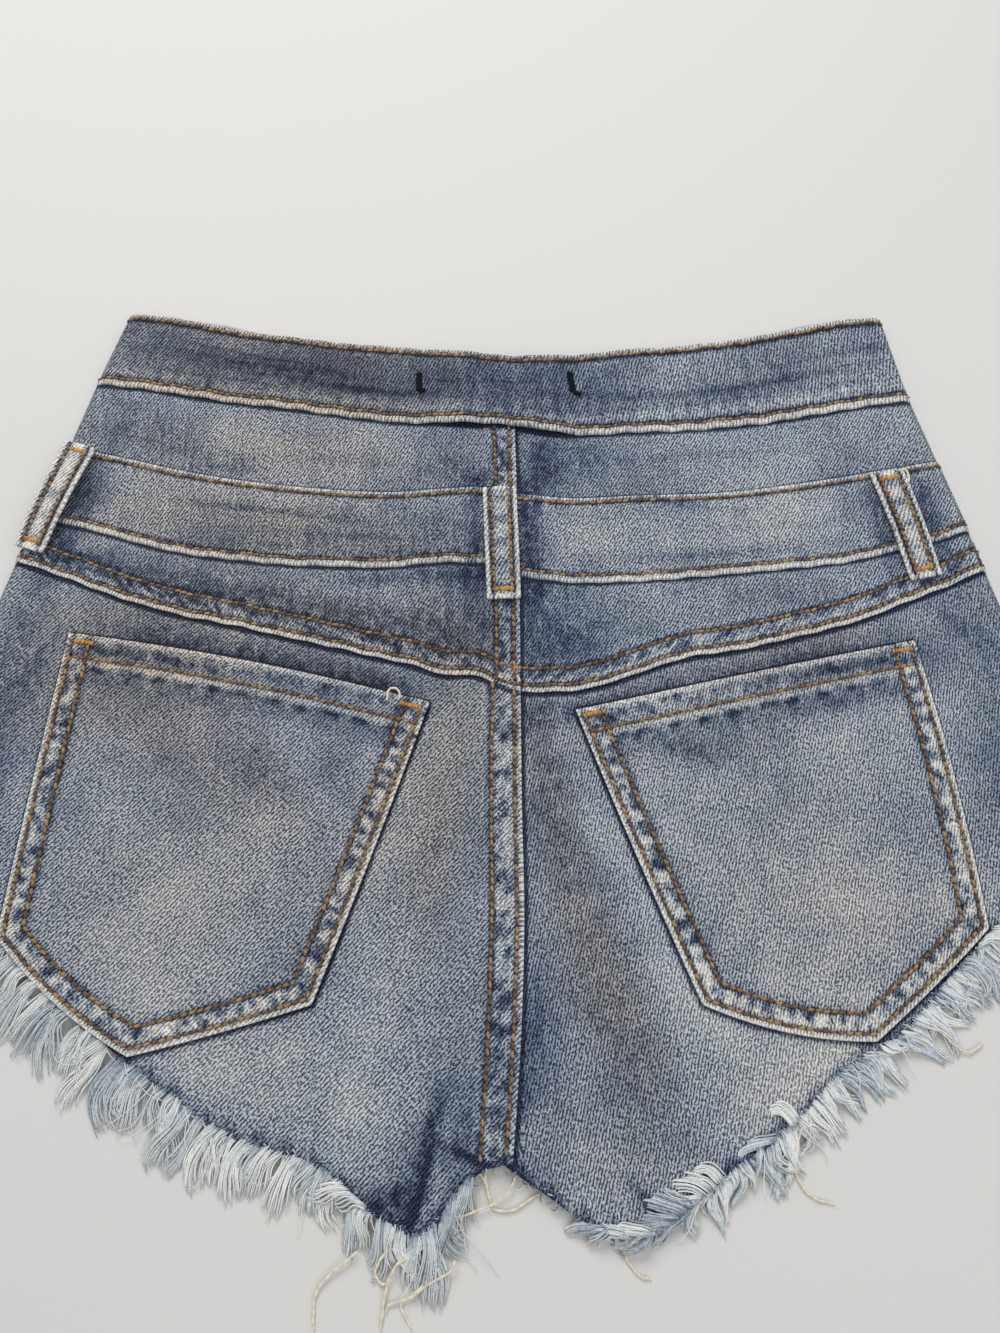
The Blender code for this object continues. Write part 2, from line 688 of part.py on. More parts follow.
def grow_lock(shape, root, half, length, lean, segments):
    """Extrudes a lock from a face of the strip: it narrows, bends a little and comes down to the floor."""
    start = root.calc_center_median() / MM
    face = root
    for step in range(1, segments + 1):
        share = step / segments
        bend = lean * (0.7 + 0.5 * share)
        centre = Vector((
            start.x + half * math.sin(bend) * length * share,
            start.y - math.cos(bend) * length * share,
            mix(start.z, LOCK_TIP_HEIGHT, share**1.5),
        ))
        made = bmesh.ops.extrude_discrete_faces(shape, faces=[face])
        face = made["faces"][0]
        narrow = 1 - LOCK_TAPER * (share if step == segments else 0.3 * share)
        middle = face.calc_center_median()
        for vertex in face.verts:
            offset = vertex.co - middle
            if step == 1:
                offset.y = 0.0
                offset.x *= 0.95
            vertex.co = centre * MM + offset * narrow


for old in list(bpy.data.objects):
    bpy.data.objects.remove(old, do_unlink=True)
parts = bpy.data.collections.new("denim_shorts")
cut_edges = {}
bpy.context.scene.collection.children.link(parts)

make_waistband()
for side in (LEFT, RIGHT):
    make_back(side)
    make_front(side)
    make_pocket(side)
for loop_name in BELT_LOOPS:
    make_belt_loop(loop_name)
make_button()
for fringe_name in FRINGES:
    make_fringe(fringe_name)
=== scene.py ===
import math
import random

import bmesh
import bpy
import numpy as np
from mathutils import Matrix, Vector


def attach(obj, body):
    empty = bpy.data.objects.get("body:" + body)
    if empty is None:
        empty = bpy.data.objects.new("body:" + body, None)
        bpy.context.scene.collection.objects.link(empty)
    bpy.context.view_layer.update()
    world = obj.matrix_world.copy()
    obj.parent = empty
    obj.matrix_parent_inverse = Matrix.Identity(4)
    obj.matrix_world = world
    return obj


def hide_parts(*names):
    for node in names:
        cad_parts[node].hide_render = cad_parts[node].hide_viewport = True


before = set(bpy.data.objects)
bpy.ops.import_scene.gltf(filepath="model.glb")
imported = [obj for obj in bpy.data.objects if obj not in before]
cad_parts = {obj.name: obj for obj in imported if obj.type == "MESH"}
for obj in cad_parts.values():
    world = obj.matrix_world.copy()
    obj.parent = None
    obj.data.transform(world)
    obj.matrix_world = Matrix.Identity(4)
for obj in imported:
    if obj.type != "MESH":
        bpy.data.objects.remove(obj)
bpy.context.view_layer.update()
scene = bpy.context.scene

# Lengths are in millimetres until a mesh is made. x runs to the right, y to the waist, z up from the floor.
mm = 0.001
left, right = -1, 1
sideName = {left: "Left", right: "Right"}

layers = {
    "ply": 1.0,
    "backTop": 2.5,  # outer face of the back, plain on the front
    "bandTop": 3.9,
    "foldTop": 4.4,  # height of the springy side fold
    "bandFoldTop": 4.9,
    "foldReach": 10.0,
    "foldShare": 0.985,  # share of the way out where the round of the side fold begins
    "sideTurn": 13.0,  # from the side fold to the side seam underneath
    "secondPly": 1.1,
    "lap": 12.5,  # width of a lapped seam
    "lapStep": 1.8,
    "tuck": 1.0,  # how far an edge runs on beneath the piece over it
    "uncovered": 60.0,  # stands for the distance to a piece on top where there is none
}
# What lies under the centre lifts it: height, x of the middle, half widths of the top and of the foot
centreRises = {
    "fly": (1.6, 0.0, 21.0, 52.0),
    "bandEnds": (2.2, 0.0, 21.0, 52.0),
    "button": (1.7, 2.0, 17.0, 32.0),
}

# Level lines of the back: y at shares of the way from the centre back to the side fold
stations = (0.0, 0.125, 0.25, 0.5, 0.75, 0.875, 1.0)
levels = {
    "waist": {
        left: (141, 143.5, 147, 152, 159, 164, 165),
        right: (141, 142, 146, 150, 157.5, 162.5, 163),
    },
    "bandSeam": {
        left: (108, 109.5, 111, 117.5, 124, 128.5, 129.5),
        right: (108, 104.5, 106, 108.5, 115, 119.5, 121),
    },
    "bandTop": {
        left: (75, 76.5, 75.5, 78.5, 86.5, 92.5, 97.5),
        right: (74, 72, 73.6, 75.6, 82.3, 86.6, 90),
    },
    "bandFoot": {
        left: (43, 44.5, 43, 44.5, 52, 59.5, 65),
        right: (38, 35.5, 36.5, 40.5, 46.5, 52.5, 59),
    },
    "yoke": {
        left: (-12, -4, 2, 14, 26.5, 36, 45),
        right: (-12, -11, -5, 7.5, 21, 31, 41),
    },
}
# Small bumps of a level line: share of the way out, width, rise
bumps = {
    ("yoke", right): ((0.34, 0.1, 2.8),),
    ("yoke", left): ((0.085, 0.035, 1.9), (0.15, 0.045, -1.9)),
    ("bandTop", left): ((0.03, 0.018, -1.6), (0.085, 0.04, 1.0)),
}
sideFolds = {
    "y": (-90, -60, -30, 10, 45, 65, 98, 130, 165),
    left: (-206, -211, -212, -207, -199, -193, -185, -177, -167),
    right: (206, 211, 212, 206, 198, 193.5, 185, 177, 171),
}
centreBack = {"y": (-180, -140, -100, -60, 40, 110), "x": (4, 7, 8.5, 8, 7.5, 6)}

# Cut edge of each leg opening, from the crotch out to the side fold
hems = {
    left: (
        (4, -179), (-7, -182), (-14, -188), (-21, -197), (-28, -201), (-36, -197.5), (-46, -192),
        (-55, -184.5), (-74, -176.5), (-90, -172), (-117, -156), (-148, -135), (-170, -116.5),
        (-190, -99), (-206, -87),
    ),
    right: (
        (4, -180), (10, -184), (18, -189), (27, -195), (36, -199), (48, -201), (59, -197), (70, -189),
        (88, -176.5), (103, -166), (120, -150), (142, -138), (160, -121), (181, -101.5), (206, -87),
    ),
}

# Soft swells and creases of the back: x, y, half length, half width, turn from +x, height
swells = (
    (-100, -50, 85, 60, 70, 1), (105, -55, 85, 60, -70, 1.1), (-60, 70, 95, 42, 4, 0.7),
    (85, 66, 95, 42, 6, 0.8), (-24, -160, 55, 14, 68, 1.5), (40, -172, 48, 20, -48, 1.3),
    (-52, -168, 42, 16, 118, 0.8), (96, -150, 50, 20, 30, 0.6),
)
creases = (
    (-19, -184, 18, 4.4, 67, 1.7), (-27.4, -187, 16, 1.6, 73.6, -2.3), (-38, -180, 28, 6, 68, 1.3),
    (-11, -176, 12, 2.4, 150, -0.8), (51, -194, 14, 2.2, -52, -1.1), (44, -188, 24, 5, -50, 0.9),
    (-30, -135, 30, 6, 62, 0.5), (24, -158, 30, 5, -60, 0.5), (30, -60, 60, 7, -68, 0.45),
    (44, -100, 46, 6, -64, -0.35), (-40, -40, 42, 6, 66, 0.35), (-55, -165, 34, 5, 150, 0.4),
    (-95, -120, 50, 7, 12, 0.35), (-110, -70, 50, 6, 30, -0.3), (-130, -20, 40, 6, -14, 0.4),
    (110, -40, 60, 7, 8, 0.4), (128, -96, 44, 6, -24, 0.35), (62, -150, 38, 6, 36, 0.4),
    (110, -135, 34, 5, 20, -0.35), (-188, -30, 60, 6, 84, 0.5), (190, -36, 56, 6, -84, 0.45),
)
# Lines where the cloth is folded under itself, from the deep end; a dark line of painted shade is drawn along
# each
foldLines = (
    (left, ((-29.6, -198), (-27.4, -190.1), (-25.3, -181.5), (-23.6, -174))),
    (left, ((-5, -179.4), (-11.3, -176.6), (-17.2, -174))),
    (right, ((58, -199), (52, -192), (47, -185))),
)
yokeCreases = (
    (-120, 98, 60, 5, -12, 0.45), (-80, 92, 52, 5.5, -6, -0.4), (-50, 84, 44, 5, 4, 0.35),
    (60, 88, 55, 6, 5, 0.4), (120, 96, 50, 5, 12, -0.35), (-110, 66, 60, 5, -8, 0.35),
    (-60, 58, 60, 4, 2, -0.45), (80, 56, 66, 5, 3, 0.4), (120, 60, 40, 5, 10, -0.35),
    (-100, 34, 60, 6, -14, 0.35), (90, 18, 60, 6, 12, 0.3),
)


def curveThrough(xs, ys, at):
    # smooth curve through a table's points, held level beyond its ends
    xs = np.asarray(xs, float)
    ys = np.asarray(ys, float)
    at = np.clip(at, xs[0], xs[-1])
    slopes = np.gradient(ys, xs)
    i = np.clip(np.searchsorted(xs, at) - 1, 0, len(xs) - 2)
    span = xs[i + 1] - xs[i]
    t = (at - xs[i]) / span
    start = (2 * t**3 - 3 * t**2 + 1) * ys[i] + (t**3 - 2 * t**2 + t) * span * slopes[i]
    end = (3 * t**2 - 2 * t**3) * ys[i + 1] + (t**3 - t**2) * span * slopes[i + 1]
    return start + end


def smooth(value):
    t = np.clip(value, 0.0, 1.0)
    return t * t * (3 - 2 * t)


def mix(a, b, share):
    return a + (b - a) * share


def unit(vectors):
    return vectors / np.maximum(np.linalg.norm(vectors, axis=-1, keepdims=True), 1e-9)


def bell(value, width):
    return np.exp(-((value / width) ** 2))


def within(distance, reach, soft):
    # 1 near the edge, falling to 0 at the reach over a soft margin
    return smooth((reach - distance) / soft)


def past(distance, reach, soft):
    # 0 up to the reach, rising to 1 over a soft margin
    return smooth((distance - reach) / soft)


def stripes(distance, rows):
    # soft lines side by side along an edge: amount, distance in, half width
    return sum(amount * bell(distance - middle, width) for amount, middle, width in rows)


def lengthAlong(line):
    # running length at each place of a line
    return np.concatenate([[0.0], np.cumsum(np.linalg.norm(np.diff(line, axis=0), axis=1))])


def curvePath(places, t):
    # smooth line through given points
    places = np.array(places, float)
    stops = np.linspace(0, 1, len(places))
    return np.column_stack([curveThrough(stops, column, t) for column in places.T])


def unevenWave(run, pitch, seed):
    # swings between -1 and 1 along a seam, never twice alike
    dice = random.Random(seed)
    table = np.array([(-1) ** i * dice.uniform(0.25, 1.0) for i in range(96)])
    place = run / pitch
    i = np.floor(place).astype(int)
    return mix(table[i % 96], table[(i + 1) % 96], smooth(place - i))


def sideX(half, y):
    return curveThrough(sideFolds["y"], sideFolds[half], y)


def seamX(y):
    return curveThrough(centreBack["y"], centreBack["x"], y)


def lineY(name, half, share):
    if name != "hem":
        line = curveThrough(stations, levels[name][half], share)
        for place, width, rise in bumps.get((name, half), ()):
            line = line + rise * bell(share - place, width)
        return line
    points = hems[half]
    x = mix(points[0][0], points[-1][0], share)
    return curveThrough([half * px for px, py in points], [py for px, py in points], half * x)


def raised(x, y, rows):
    total = np.zeros_like(x)
    for cx, cy, along, across, turn, height in rows:
        angle = math.radians(turn)
        run = (x - cx) * math.cos(angle) + (y - cy) * math.sin(angle)
        off = (y - cy) * math.cos(angle) - (x - cx) * math.sin(angle)
        total += height * bell(run, along) * bell(off, across)
    return total


def fade(distance, flat, edge):
    return smooth((edge - abs(distance)) / (edge - flat))


def toFold(height, half, x, y, radius):
    # eases a face into the round of the side fold
    inward = np.maximum(0.0, abs(sideX(half, y)) - radius - abs(x))
    return mix(height, 2 * radius, bell(inward, layers["foldReach"]))


def centreRise(x, cause):
    height, middle, flat, edge = centreRises[cause]
    return height * fade(x - middle, flat, edge)


def backHeight(x, y):
    return layers["backTop"] + centreRise(x, "fly") + raised(x, y, swells)


def bandHeight(x):
    return layers["bandTop"] + centreRise(x, "bandEnds") + centreRise(x, "button")


def lapLift(gap):
    # rise of the second ply, by the distance to the edge of a lapped seam
    return layers["secondPly"] * within(gap, layers["lap"] + layers["lapStep"], layers["lapStep"])


def spaced(length, pitch, fineAtStart, fineAtEnd, finePitch):
    # places from 0 to length, closer together near either end
    places = [0.0]
    while places[-1] < length - 0.5 * finePitch:
        at = places[-1]
        fine = at < fineAtStart or at > length - fineAtEnd
        places.append(at + (finePitch if fine else pitch))
    places[-1] = length
    return np.array(places)


def outwardNormals(points, sign):
    down = np.gradient(points, axis=0)
    across = np.gradient(points, axis=1)
    return unit(np.cross(down, across)) * sign


def clothShell(name, sheet, thickness, material, bulge):
    # a closed thin shell inwards from a sheet's outer face; bulge rounds its top, foot, near and far edges
    outer, normal = sheet["points"], sheet["normals"]
    inner = outer - normal * thickness
    rows, columns = outer.shape[:2]
    count = rows * columns
    index = np.arange(count).reshape(rows, columns)
    places = [outer.reshape(-1, 3), inner.reshape(-1, 3)]
    sources = [index.ravel(), index.ravel()]
    insides = [np.zeros(count), np.ones(count)]
    faces = []

    def addQuads(a, b, c, d):
        faces.append(np.stack([a.ravel(), b.ravel(), c.ravel(), d.ravel()], axis=1))

    addQuads(index[1:, :-1], index[1:, 1:], index[:-1, 1:], index[:-1, :-1])
    back = index + count
    addQuads(back[:-1, :-1], back[:-1, 1:], back[1:, 1:], back[1:, :-1])
    total = 2 * count
    angles = (math.radians(42), math.radians(90), math.radians(138))
    chains = {}
    borders = {
        "top": (index[0], index[1]),
        "foot": (index[-1], index[-2]),
        "near": (index[:, 0], index[:, 1]),
        "far": (index[:, -1], index[:, -2]),
    }
    flatOuter, flatInner = places[0], places[1]
    flatNormal = normal.reshape(-1, 3)
    for border, (edge, beside) in borders.items():
        middle = (flatOuter[edge] + flatInner[edge]) / 2
        outward = unit(flatOuter[edge] - flatOuter[beside])
        chain = [edge]
        for angle in angles:
            ring = middle + flatNormal[edge] * thickness / 2 * math.cos(angle)
            ring = ring + outward * thickness / 2 * bulge[border] * math.sin(angle)
            places.append(ring)
            sources.append(edge)
            insides.append(np.full(len(edge), smooth((angle - 1.6) / 1.2)))
            chain.append(np.arange(total, total + len(edge)))
            total += len(edge)
        chain.append(edge + count)
        chains[border] = chain
        for a, b in zip(chain, chain[1:]):
            addQuads(a[:-1], a[1:], b[1:], b[:-1])
    corners = []
    for one, two, i, j in (("top", "near", 0, 0), ("top", "far", -1, 0), ("foot", "near", 0, -1),
                           ("foot", "far", -1, -1)):
        first = [chain[i] for chain in chains[one]]
        second = [chain[j] for chain in chains[two]]
        for k in range(len(first) - 1):
            loop = [first[k], first[k + 1], second[k + 1], second[k]]
            corners.append([int(v) for n, v in enumerate(loop) if v not in loop[:n]])
    made = meshFrom(name, np.vstack(places), np.vstack(faces).tolist() + corners)
    source = np.concatenate(sources)
    coords = sheet["coords"].reshape(-1, 2)[source]
    paint(made, "clothPlace", np.column_stack([coords, np.zeros(len(source))]))
    wear = sheet["wear"].reshape(-1, 3)[source]
    paint(made, "wear", np.column_stack([wear, np.concatenate(insides)]))
    paint(made, "cover", sheet["cover"].ravel()[source])
    made.data.materials.append(material)
    return made


def meshFrom(name, places, faces):
    mesh = bpy.data.meshes.new(name)
    mesh.from_pydata((places * mm).tolist(), [], faces)
    shape = bmesh.new()
    shape.from_mesh(mesh)
    bmesh.ops.recalc_face_normals(shape, faces=shape.faces)
    shape.to_mesh(mesh)
    shape.free()
    mesh.shade_smooth()
    made = bpy.data.objects.new(name, mesh)
    scene.collection.objects.link(made)
    return made


def paint(made, name, values):
    kinds = {1: ("FLOAT", "value"), 3: ("FLOAT_VECTOR", "vector"), 4: ("FLOAT_COLOR", "color")}
    kind, field = kinds[values[0].size]
    layer = made.data.attributes.new(name, kind, "POINT")
    layer.data.foreach_set(field, values.astype(np.float32).ravel())


def finishSheet(base, sign, relief, coords, worn, deep, cast, cover=layers["uncovered"]):
    # pushes the outer face in and out along its normals and packs what a shell needs;
    # cover is the distance to the edge of the next piece on top, where the shader paints a dark line of shade
    points = base + outwardNormals(base, sign) * relief[..., None]
    return {
        "points": points,
        "normals": outwardNormals(points, sign),
        "coords": coords,
        "wear": np.clip(np.stack(np.broadcast_arrays(worn, deep, cast), axis=-1), 0, 1),
        "cover": np.broadcast_to(cover, relief.shape),
    }


def spots(run, distance, pitch, middle, spread, seed):
    # irregular small blots along a strip, about one for each pitch
    table = np.random.default_rng(seed).random((5, 97))
    cell = np.floor(run / pitch).astype(int)
    total = np.zeros_like(run)
    for step in (-1, 0, 1):
        a, b, c, d, e = table[:, (cell + step) % 97]
        along = run - (cell + step + 0.15 + 0.7 * a) * pitch
        across = distance - middle - (2 * b - 1) * spread
        total += (0.3 + 0.8 * c) * bell(along, 0.9 + 1.1 * d) * bell(across, 1.1 + 1.2 * e)
    return total


def sewnEdge(distance, run, rows, seed, rope=1.0, pucker=1.0, slant=0.0, pitch=4.9, blots=2.1):
    # relief, wear and shade beside a sewn edge: a pale rubbed rope, sunk stitch rows darkened with less faded
    # dye and painted shade, and the pucker between them
    first = rows[0]
    relief = stripes(distance, [(0.2, 0.4 * first, 0.5 * first)] + [(-0.34, row, 0.8) for row in rows])
    worn = 0.95 * rope * within(distance, 0.84 * first, 0.3 * first)
    # darker along each stitch row: less faded dye in the groove and painted shade
    deep = stripes(distance, [(1.1, row, 1.15) for row in rows])
    leaning = run + slant * distance
    wave = unevenWave(leaning, 0.6 * pitch, seed)
    beside = past(distance, first + 0.3, 1.0)
    if len(rows) == 1:
        beside = beside * bell(distance - first, 3.0)
    else:
        second = rows[1]
        beside = beside * within(distance, second - 0.3, 1.0)
        marks = spots(leaning, distance, pitch, (first + second) / 2, 1.6, seed)
        marks += 0.7 * spots(leaning, distance, 1.7 * pitch, second - 1.3, 0.5, seed + 1)
        deep += pucker * blots * marks * beside
        worn -= 0.5 * pucker * np.clip(marks, 0, 1) * beside
        worn += 0.26 * pucker * bell(distance - second - 1.4, 0.9) * (0.6 + 0.4 * wave)
    relief += 0.3 * wave * beside
    worn += pucker * beside * (0.66 + 0.24 * wave)
    return relief, worn, deep


# Faded, browned, painted-shade and painted-highlight places of the whole back: x, y, half length, half width,
# turn, light, dark, brown
fadeAndShadeRows = (
    (-90, 97, 70, 16, -6, 0.08, 0, 0.9), (-152, 110, 24, 12, -20, 0, 0.3, 0.1),
    (-122, 91, 26, 7, -14, 0, 0.45, 0), (-22, 90, 18, 16, 0, 0, 0.3, 0), (34, 92, 22, 18, 0, 0, 0.3, 0),
    (110, 98, 55, 12, 8, 0.08, 0, 0.1), (-110, 64, 80, 16, -6, 0, 0.1, 1.1),
    (-70, 50, 60, 4, -4, 0, 0.25, 0.3), (40, 56, 24, 10, 0, 0.12, 0, 0.2),
    (105, 60, 45, 12, 6, 0.3, 0, 0.2), (90, 47, 60, 3, 6, 0, 0.2, 0), (-85, 24, 75, 11, -13, 0, 0.6, 0.9),
    (-100, 68, 46, 2, -7, 0, 0.35, 0), (-62, 56, 34, 1.8, -3, 0, 0.35, 0),
    (-112, 50, 30, 1.6, -10, 0, 0.25, 0), (-70, 92, 40, 2, -5, 0, 0.2, 0),
    (80, 70, 24, 2.4, -8, 0, 0.35, 0), (104, 60, 34, 2, 4, 0, 0.25, 0), (70, 47, 30, 1.8, 2, 0, 0.25, 0),
    (92, 95, 40, 2, 5, 0, 0.2, 0), (-20, 18, 24, 16, -10, 0, 0.4, 0.5), (26, 10, 20, 18, 10, 0, 0.42, 0),
    (100, 24, 50, 10, 12, 0, 0.08, 0), (120, 6, 50, 9, 12, 0, 0.12, 0.5),
    # dark rows beside the three belt loops, from here to (17, 88): painted shade
    (-176, 72, 24, 6, 73, 0, 0.6, 0), (-172, 44, 14, 5, -20, 0, 0.6, 0), (159, 60, 24, 5, -78, 0, 0.5, 0),
    (179, 60, 24, 6, -78, 0, 0.75, 0), (-9, 48, 22, 5, 90, 0, 0.5, 0), (12, 44, 24, 6, 90, 0, 0.8, 0),
    (-9, 40, 8, 9, 90, 0, 0.5, 0), (10, 72, 12, 6, 90, 0, 0.7, 0), (-10, 78, 8, 6, 90, 0, 0.6, 0),
    (17, 88, 16, 8, 90, 0, 0.6, 0), (-24, 60, 10, 7, 0, 0, 0.35, 0), (-46, 46, 34, 4, 3, 0, 0.3, 0),
    (-160, 44, 24, 5, -17, 0, 0.35, 0), (-104, 36, 50, 4, -10, 0.12, 0, 0),
    (-150, -6, 60, 26, 4, 0, 0.1, 0.8), (-104, -70, 60, 44, 0, 0.04, 0, 0.22),
    (-150, 16, 40, 10, -14, 0, 0.1, 0.8), (-196, -30, 70, 12, 84, 0, 0.36, 0.1),
    # the light row at (-187, 6) is a painted highlight on a fold at the hip
    (-187, 6, 30, 5, 62, 0.1, 0, 0), (-183, 0, 12, 7, 80, 0, 0.3, 0), (196, -30, 70, 13, -84, 0, 0.28, 0),
    (168, 4, 16, 9, -30, 0, 0.25, 0), (-42, -11, 14, 5, 4, 0, 0.35, 0), (13, -22, 14, 7, 0, 0, 0.45, 0),
    (74, -36, 30, 4.5, -16, 0, 0.3, 0), (134, -16, 18, 5, 10, 0, 0.4, 0),
    (170, -58, 28, 6, -84, 0.5, 0, 0), (126, -150, 14, 8, 30, 0.6, 0, 0), (4, -156, 26, 7, 88, 0, 0.7, 0),
    # the row at (-34, 37.5) darkens the yoke under the mid band's foot edge: painted shade
    (-34, 37.5, 34, 3.5, 2, 0, 0.5, 0), (18, 32, 12, 5, 0, 0, 0.4, 0), (90, -2, 40, 5, 10, 0, 0.2, 0),
    (115, -58, 16, 10, 0, 0, 0.16, 0.1), (0, -152, 30, 5, 90, 0, 0.25, 0),
    (-138, -154, 16, 8, -35, 0.35, 0, 0), (-148, -3, 28, 5, -10, 0.2, 0, 0),
    (-160, -56, 16, 8, -60, 0, 0.2, 0), (-60, -50, 16, 8, -60, 0, 0.2, 0),
    (186, 16, 26, 4, -40, 0, 0.3, 0), (-120, -38, 46, 13, -42, 0, 0.16, 0.45),
    (-90, -44, 34, 9, -50, 0, 0.34, 0.4), (-80, -62, 16, 12, 30, 0.26, 0, 0),
    (-130, -92, 44, 26, 0, 0.13, 0, 0.2), (-22, -52, 60, 14, 82, 0, 0.1, 1),
    (-44, -60, 34, 10, 72, 0.22, 0, 0.4), (-92, -145, 44, 20, -32, 0.28, 0, 0.1),
    (-40, -134, 44, 16, 68, 0.18, 0, 0), (-64, -112, 26, 10, 80, 0, 0.12, 0.2),
    (18, -46, 34, 10, -78, 0, 0.4, 0.7), (37, -118, 48, 13, -70, 0, 0.34, 1),
    (30, -88, 26, 6, -72, 0.12, 0, 0), (44, -76, 36, 7, -59, 0.26, 0, -0.2),
    (72, -128, 30, 8, -48, 0.32, 0, -0.2), (15, -140, 40, 7, -84, 0, 0.3, 0),
    (36, -176, 26, 14, -30, 0.05, 0, 0.3), (106, -152, 36, 16, 36, 0.45, 0, 0.1),
    (110, -70, 60, 40, 10, 0.05, 0, 0.1), (128, -100, 46, 28, 0, 0.12, 0, 0.2),
    # from (-27.4, -188) to the end the rows lie along the folds by the crotch; their darkening is painted
    # crease shadow
    (84, -34, 40, 7, 12, 0, 0.16, 0.2), (-27.4, -188, 11, 1.2, 73.6, 0, 2.6, 0),
    (-24.6, -172, 14, 2.2, 80, 0, 0.7, 0), (-38, -190, 10, 4, 8, 0, 0.5, 0),
    (-33, -187, 18, 7, 66, 0, 0.5, 0), (-16, -180, 18, 6, 66, 0, 0.3, -0.3),
    (-19, -160, 17, 3, 74, 0, 0.4, 0), (-13, -168, 18, 4, 78, 0, 0.3, 0),
    (-19, -187, 16, 2.6, 64, 0.22, 0, 0), (-11.3, -177.3, 6.5, 1, 155, 0, 1.7, 0),
    (51, -194, 13, 1.8, -52, 0, 1, 0),
)


def fadeAndShade(x, y, narrowest=0.0):
    total = np.zeros((3,) + x.shape)
    for *place, toLight, toDark, toBrown in fadeAndShadeRows:
        if place[3] >= narrowest:
            spot = raised(x, y, ((*place, 1.0),))
            total += np.array([toLight, toDark, toBrown])[:, None, None] * spot
    return total


pockets = {
    # corners in plan: top inner, top outer, low outer, tip, low inner; bow of the edge after each corner
    left: {
        "corners": ((-28, -17), (-172, 12.2), (-182, -105), (-130, -145), (-67, -128)),
        "bows": (2.6, 0.3, 3.0, 0.6, 0.4),
        "flat": (0.15, 0.15),
    },
    right: {
        "corners": ((30, -20), (165, 9), (177, -102), (132, -140), (72, -128)),
        "bows": (0.4, 1.8, 0.6, 3.2, 0.5),
        "flat": (0.14, 0.15),
    },
}
pocketRows = {"outer": 2.0, "inner": 8.6, "hem": 9.2}


def pocketEdge(half, k, t, insets=(0, 0, 0, 0, 0)):
    # places along a pocket's edge, each edge moved in by its inset
    spec = pockets[half]
    corners = np.array(spec["corners"], float)

    def edgeLine(i):
        a, b = corners[i % 5], corners[(i + 1) % 5]
        along = unit(b - a)
        inward = np.array([-along[1], along[0]]) * -half
        return a + inward * insets[i % 5], along, inward

    def meeting(i):
        (p, d, _), (q, e, _) = edgeLine(i - 1), edgeLine(i)
        return p + d * np.linalg.solve(np.column_stack([d, -e]), q - p)[0]

    t = np.asarray(t, float)[:, None]
    return mix(meeting(k), meeting(k + 1), t) - edgeLine(k)[2] * spec["bows"][k] * 4 * t * (1 - t)


def nearestOnEdge(x, y, line):
    # distance to a line of places and how far along it the nearest one is
    gaps = (x.ravel()[:, None] - line[:, 0]) ** 2 + (y.ravel()[:, None] - line[:, 1]) ** 2
    closest = gaps.argmin(axis=1)
    return np.sqrt(gaps.min(axis=1)).reshape(x.shape), lengthAlong(line)[closest].reshape(x.shape)


def ripple(run, seed):
    # small waver of a sewn edge
    return 0.34 * unevenWave(run, 7.0, seed) + 0.3 * unevenWave(run, 19.0, seed + 1)


backGrid = {
    "width": 205.0,
    "fineNear": 15.0,
    "foldAngles": np.linspace(0, math.pi, 9)[1:],
    "turnShares": np.array([0.25, 0.5, 0.75, 1.0]),
    "clearOfSeam": 200.0,
}
# Shade beside a pocket's top edge on the panel: where it starts, dark, its half width, brown
pocketShade = {left: (30, 0.75, 7.5, 1.0), right: (14, 0.5, 3.4, 0.3)}


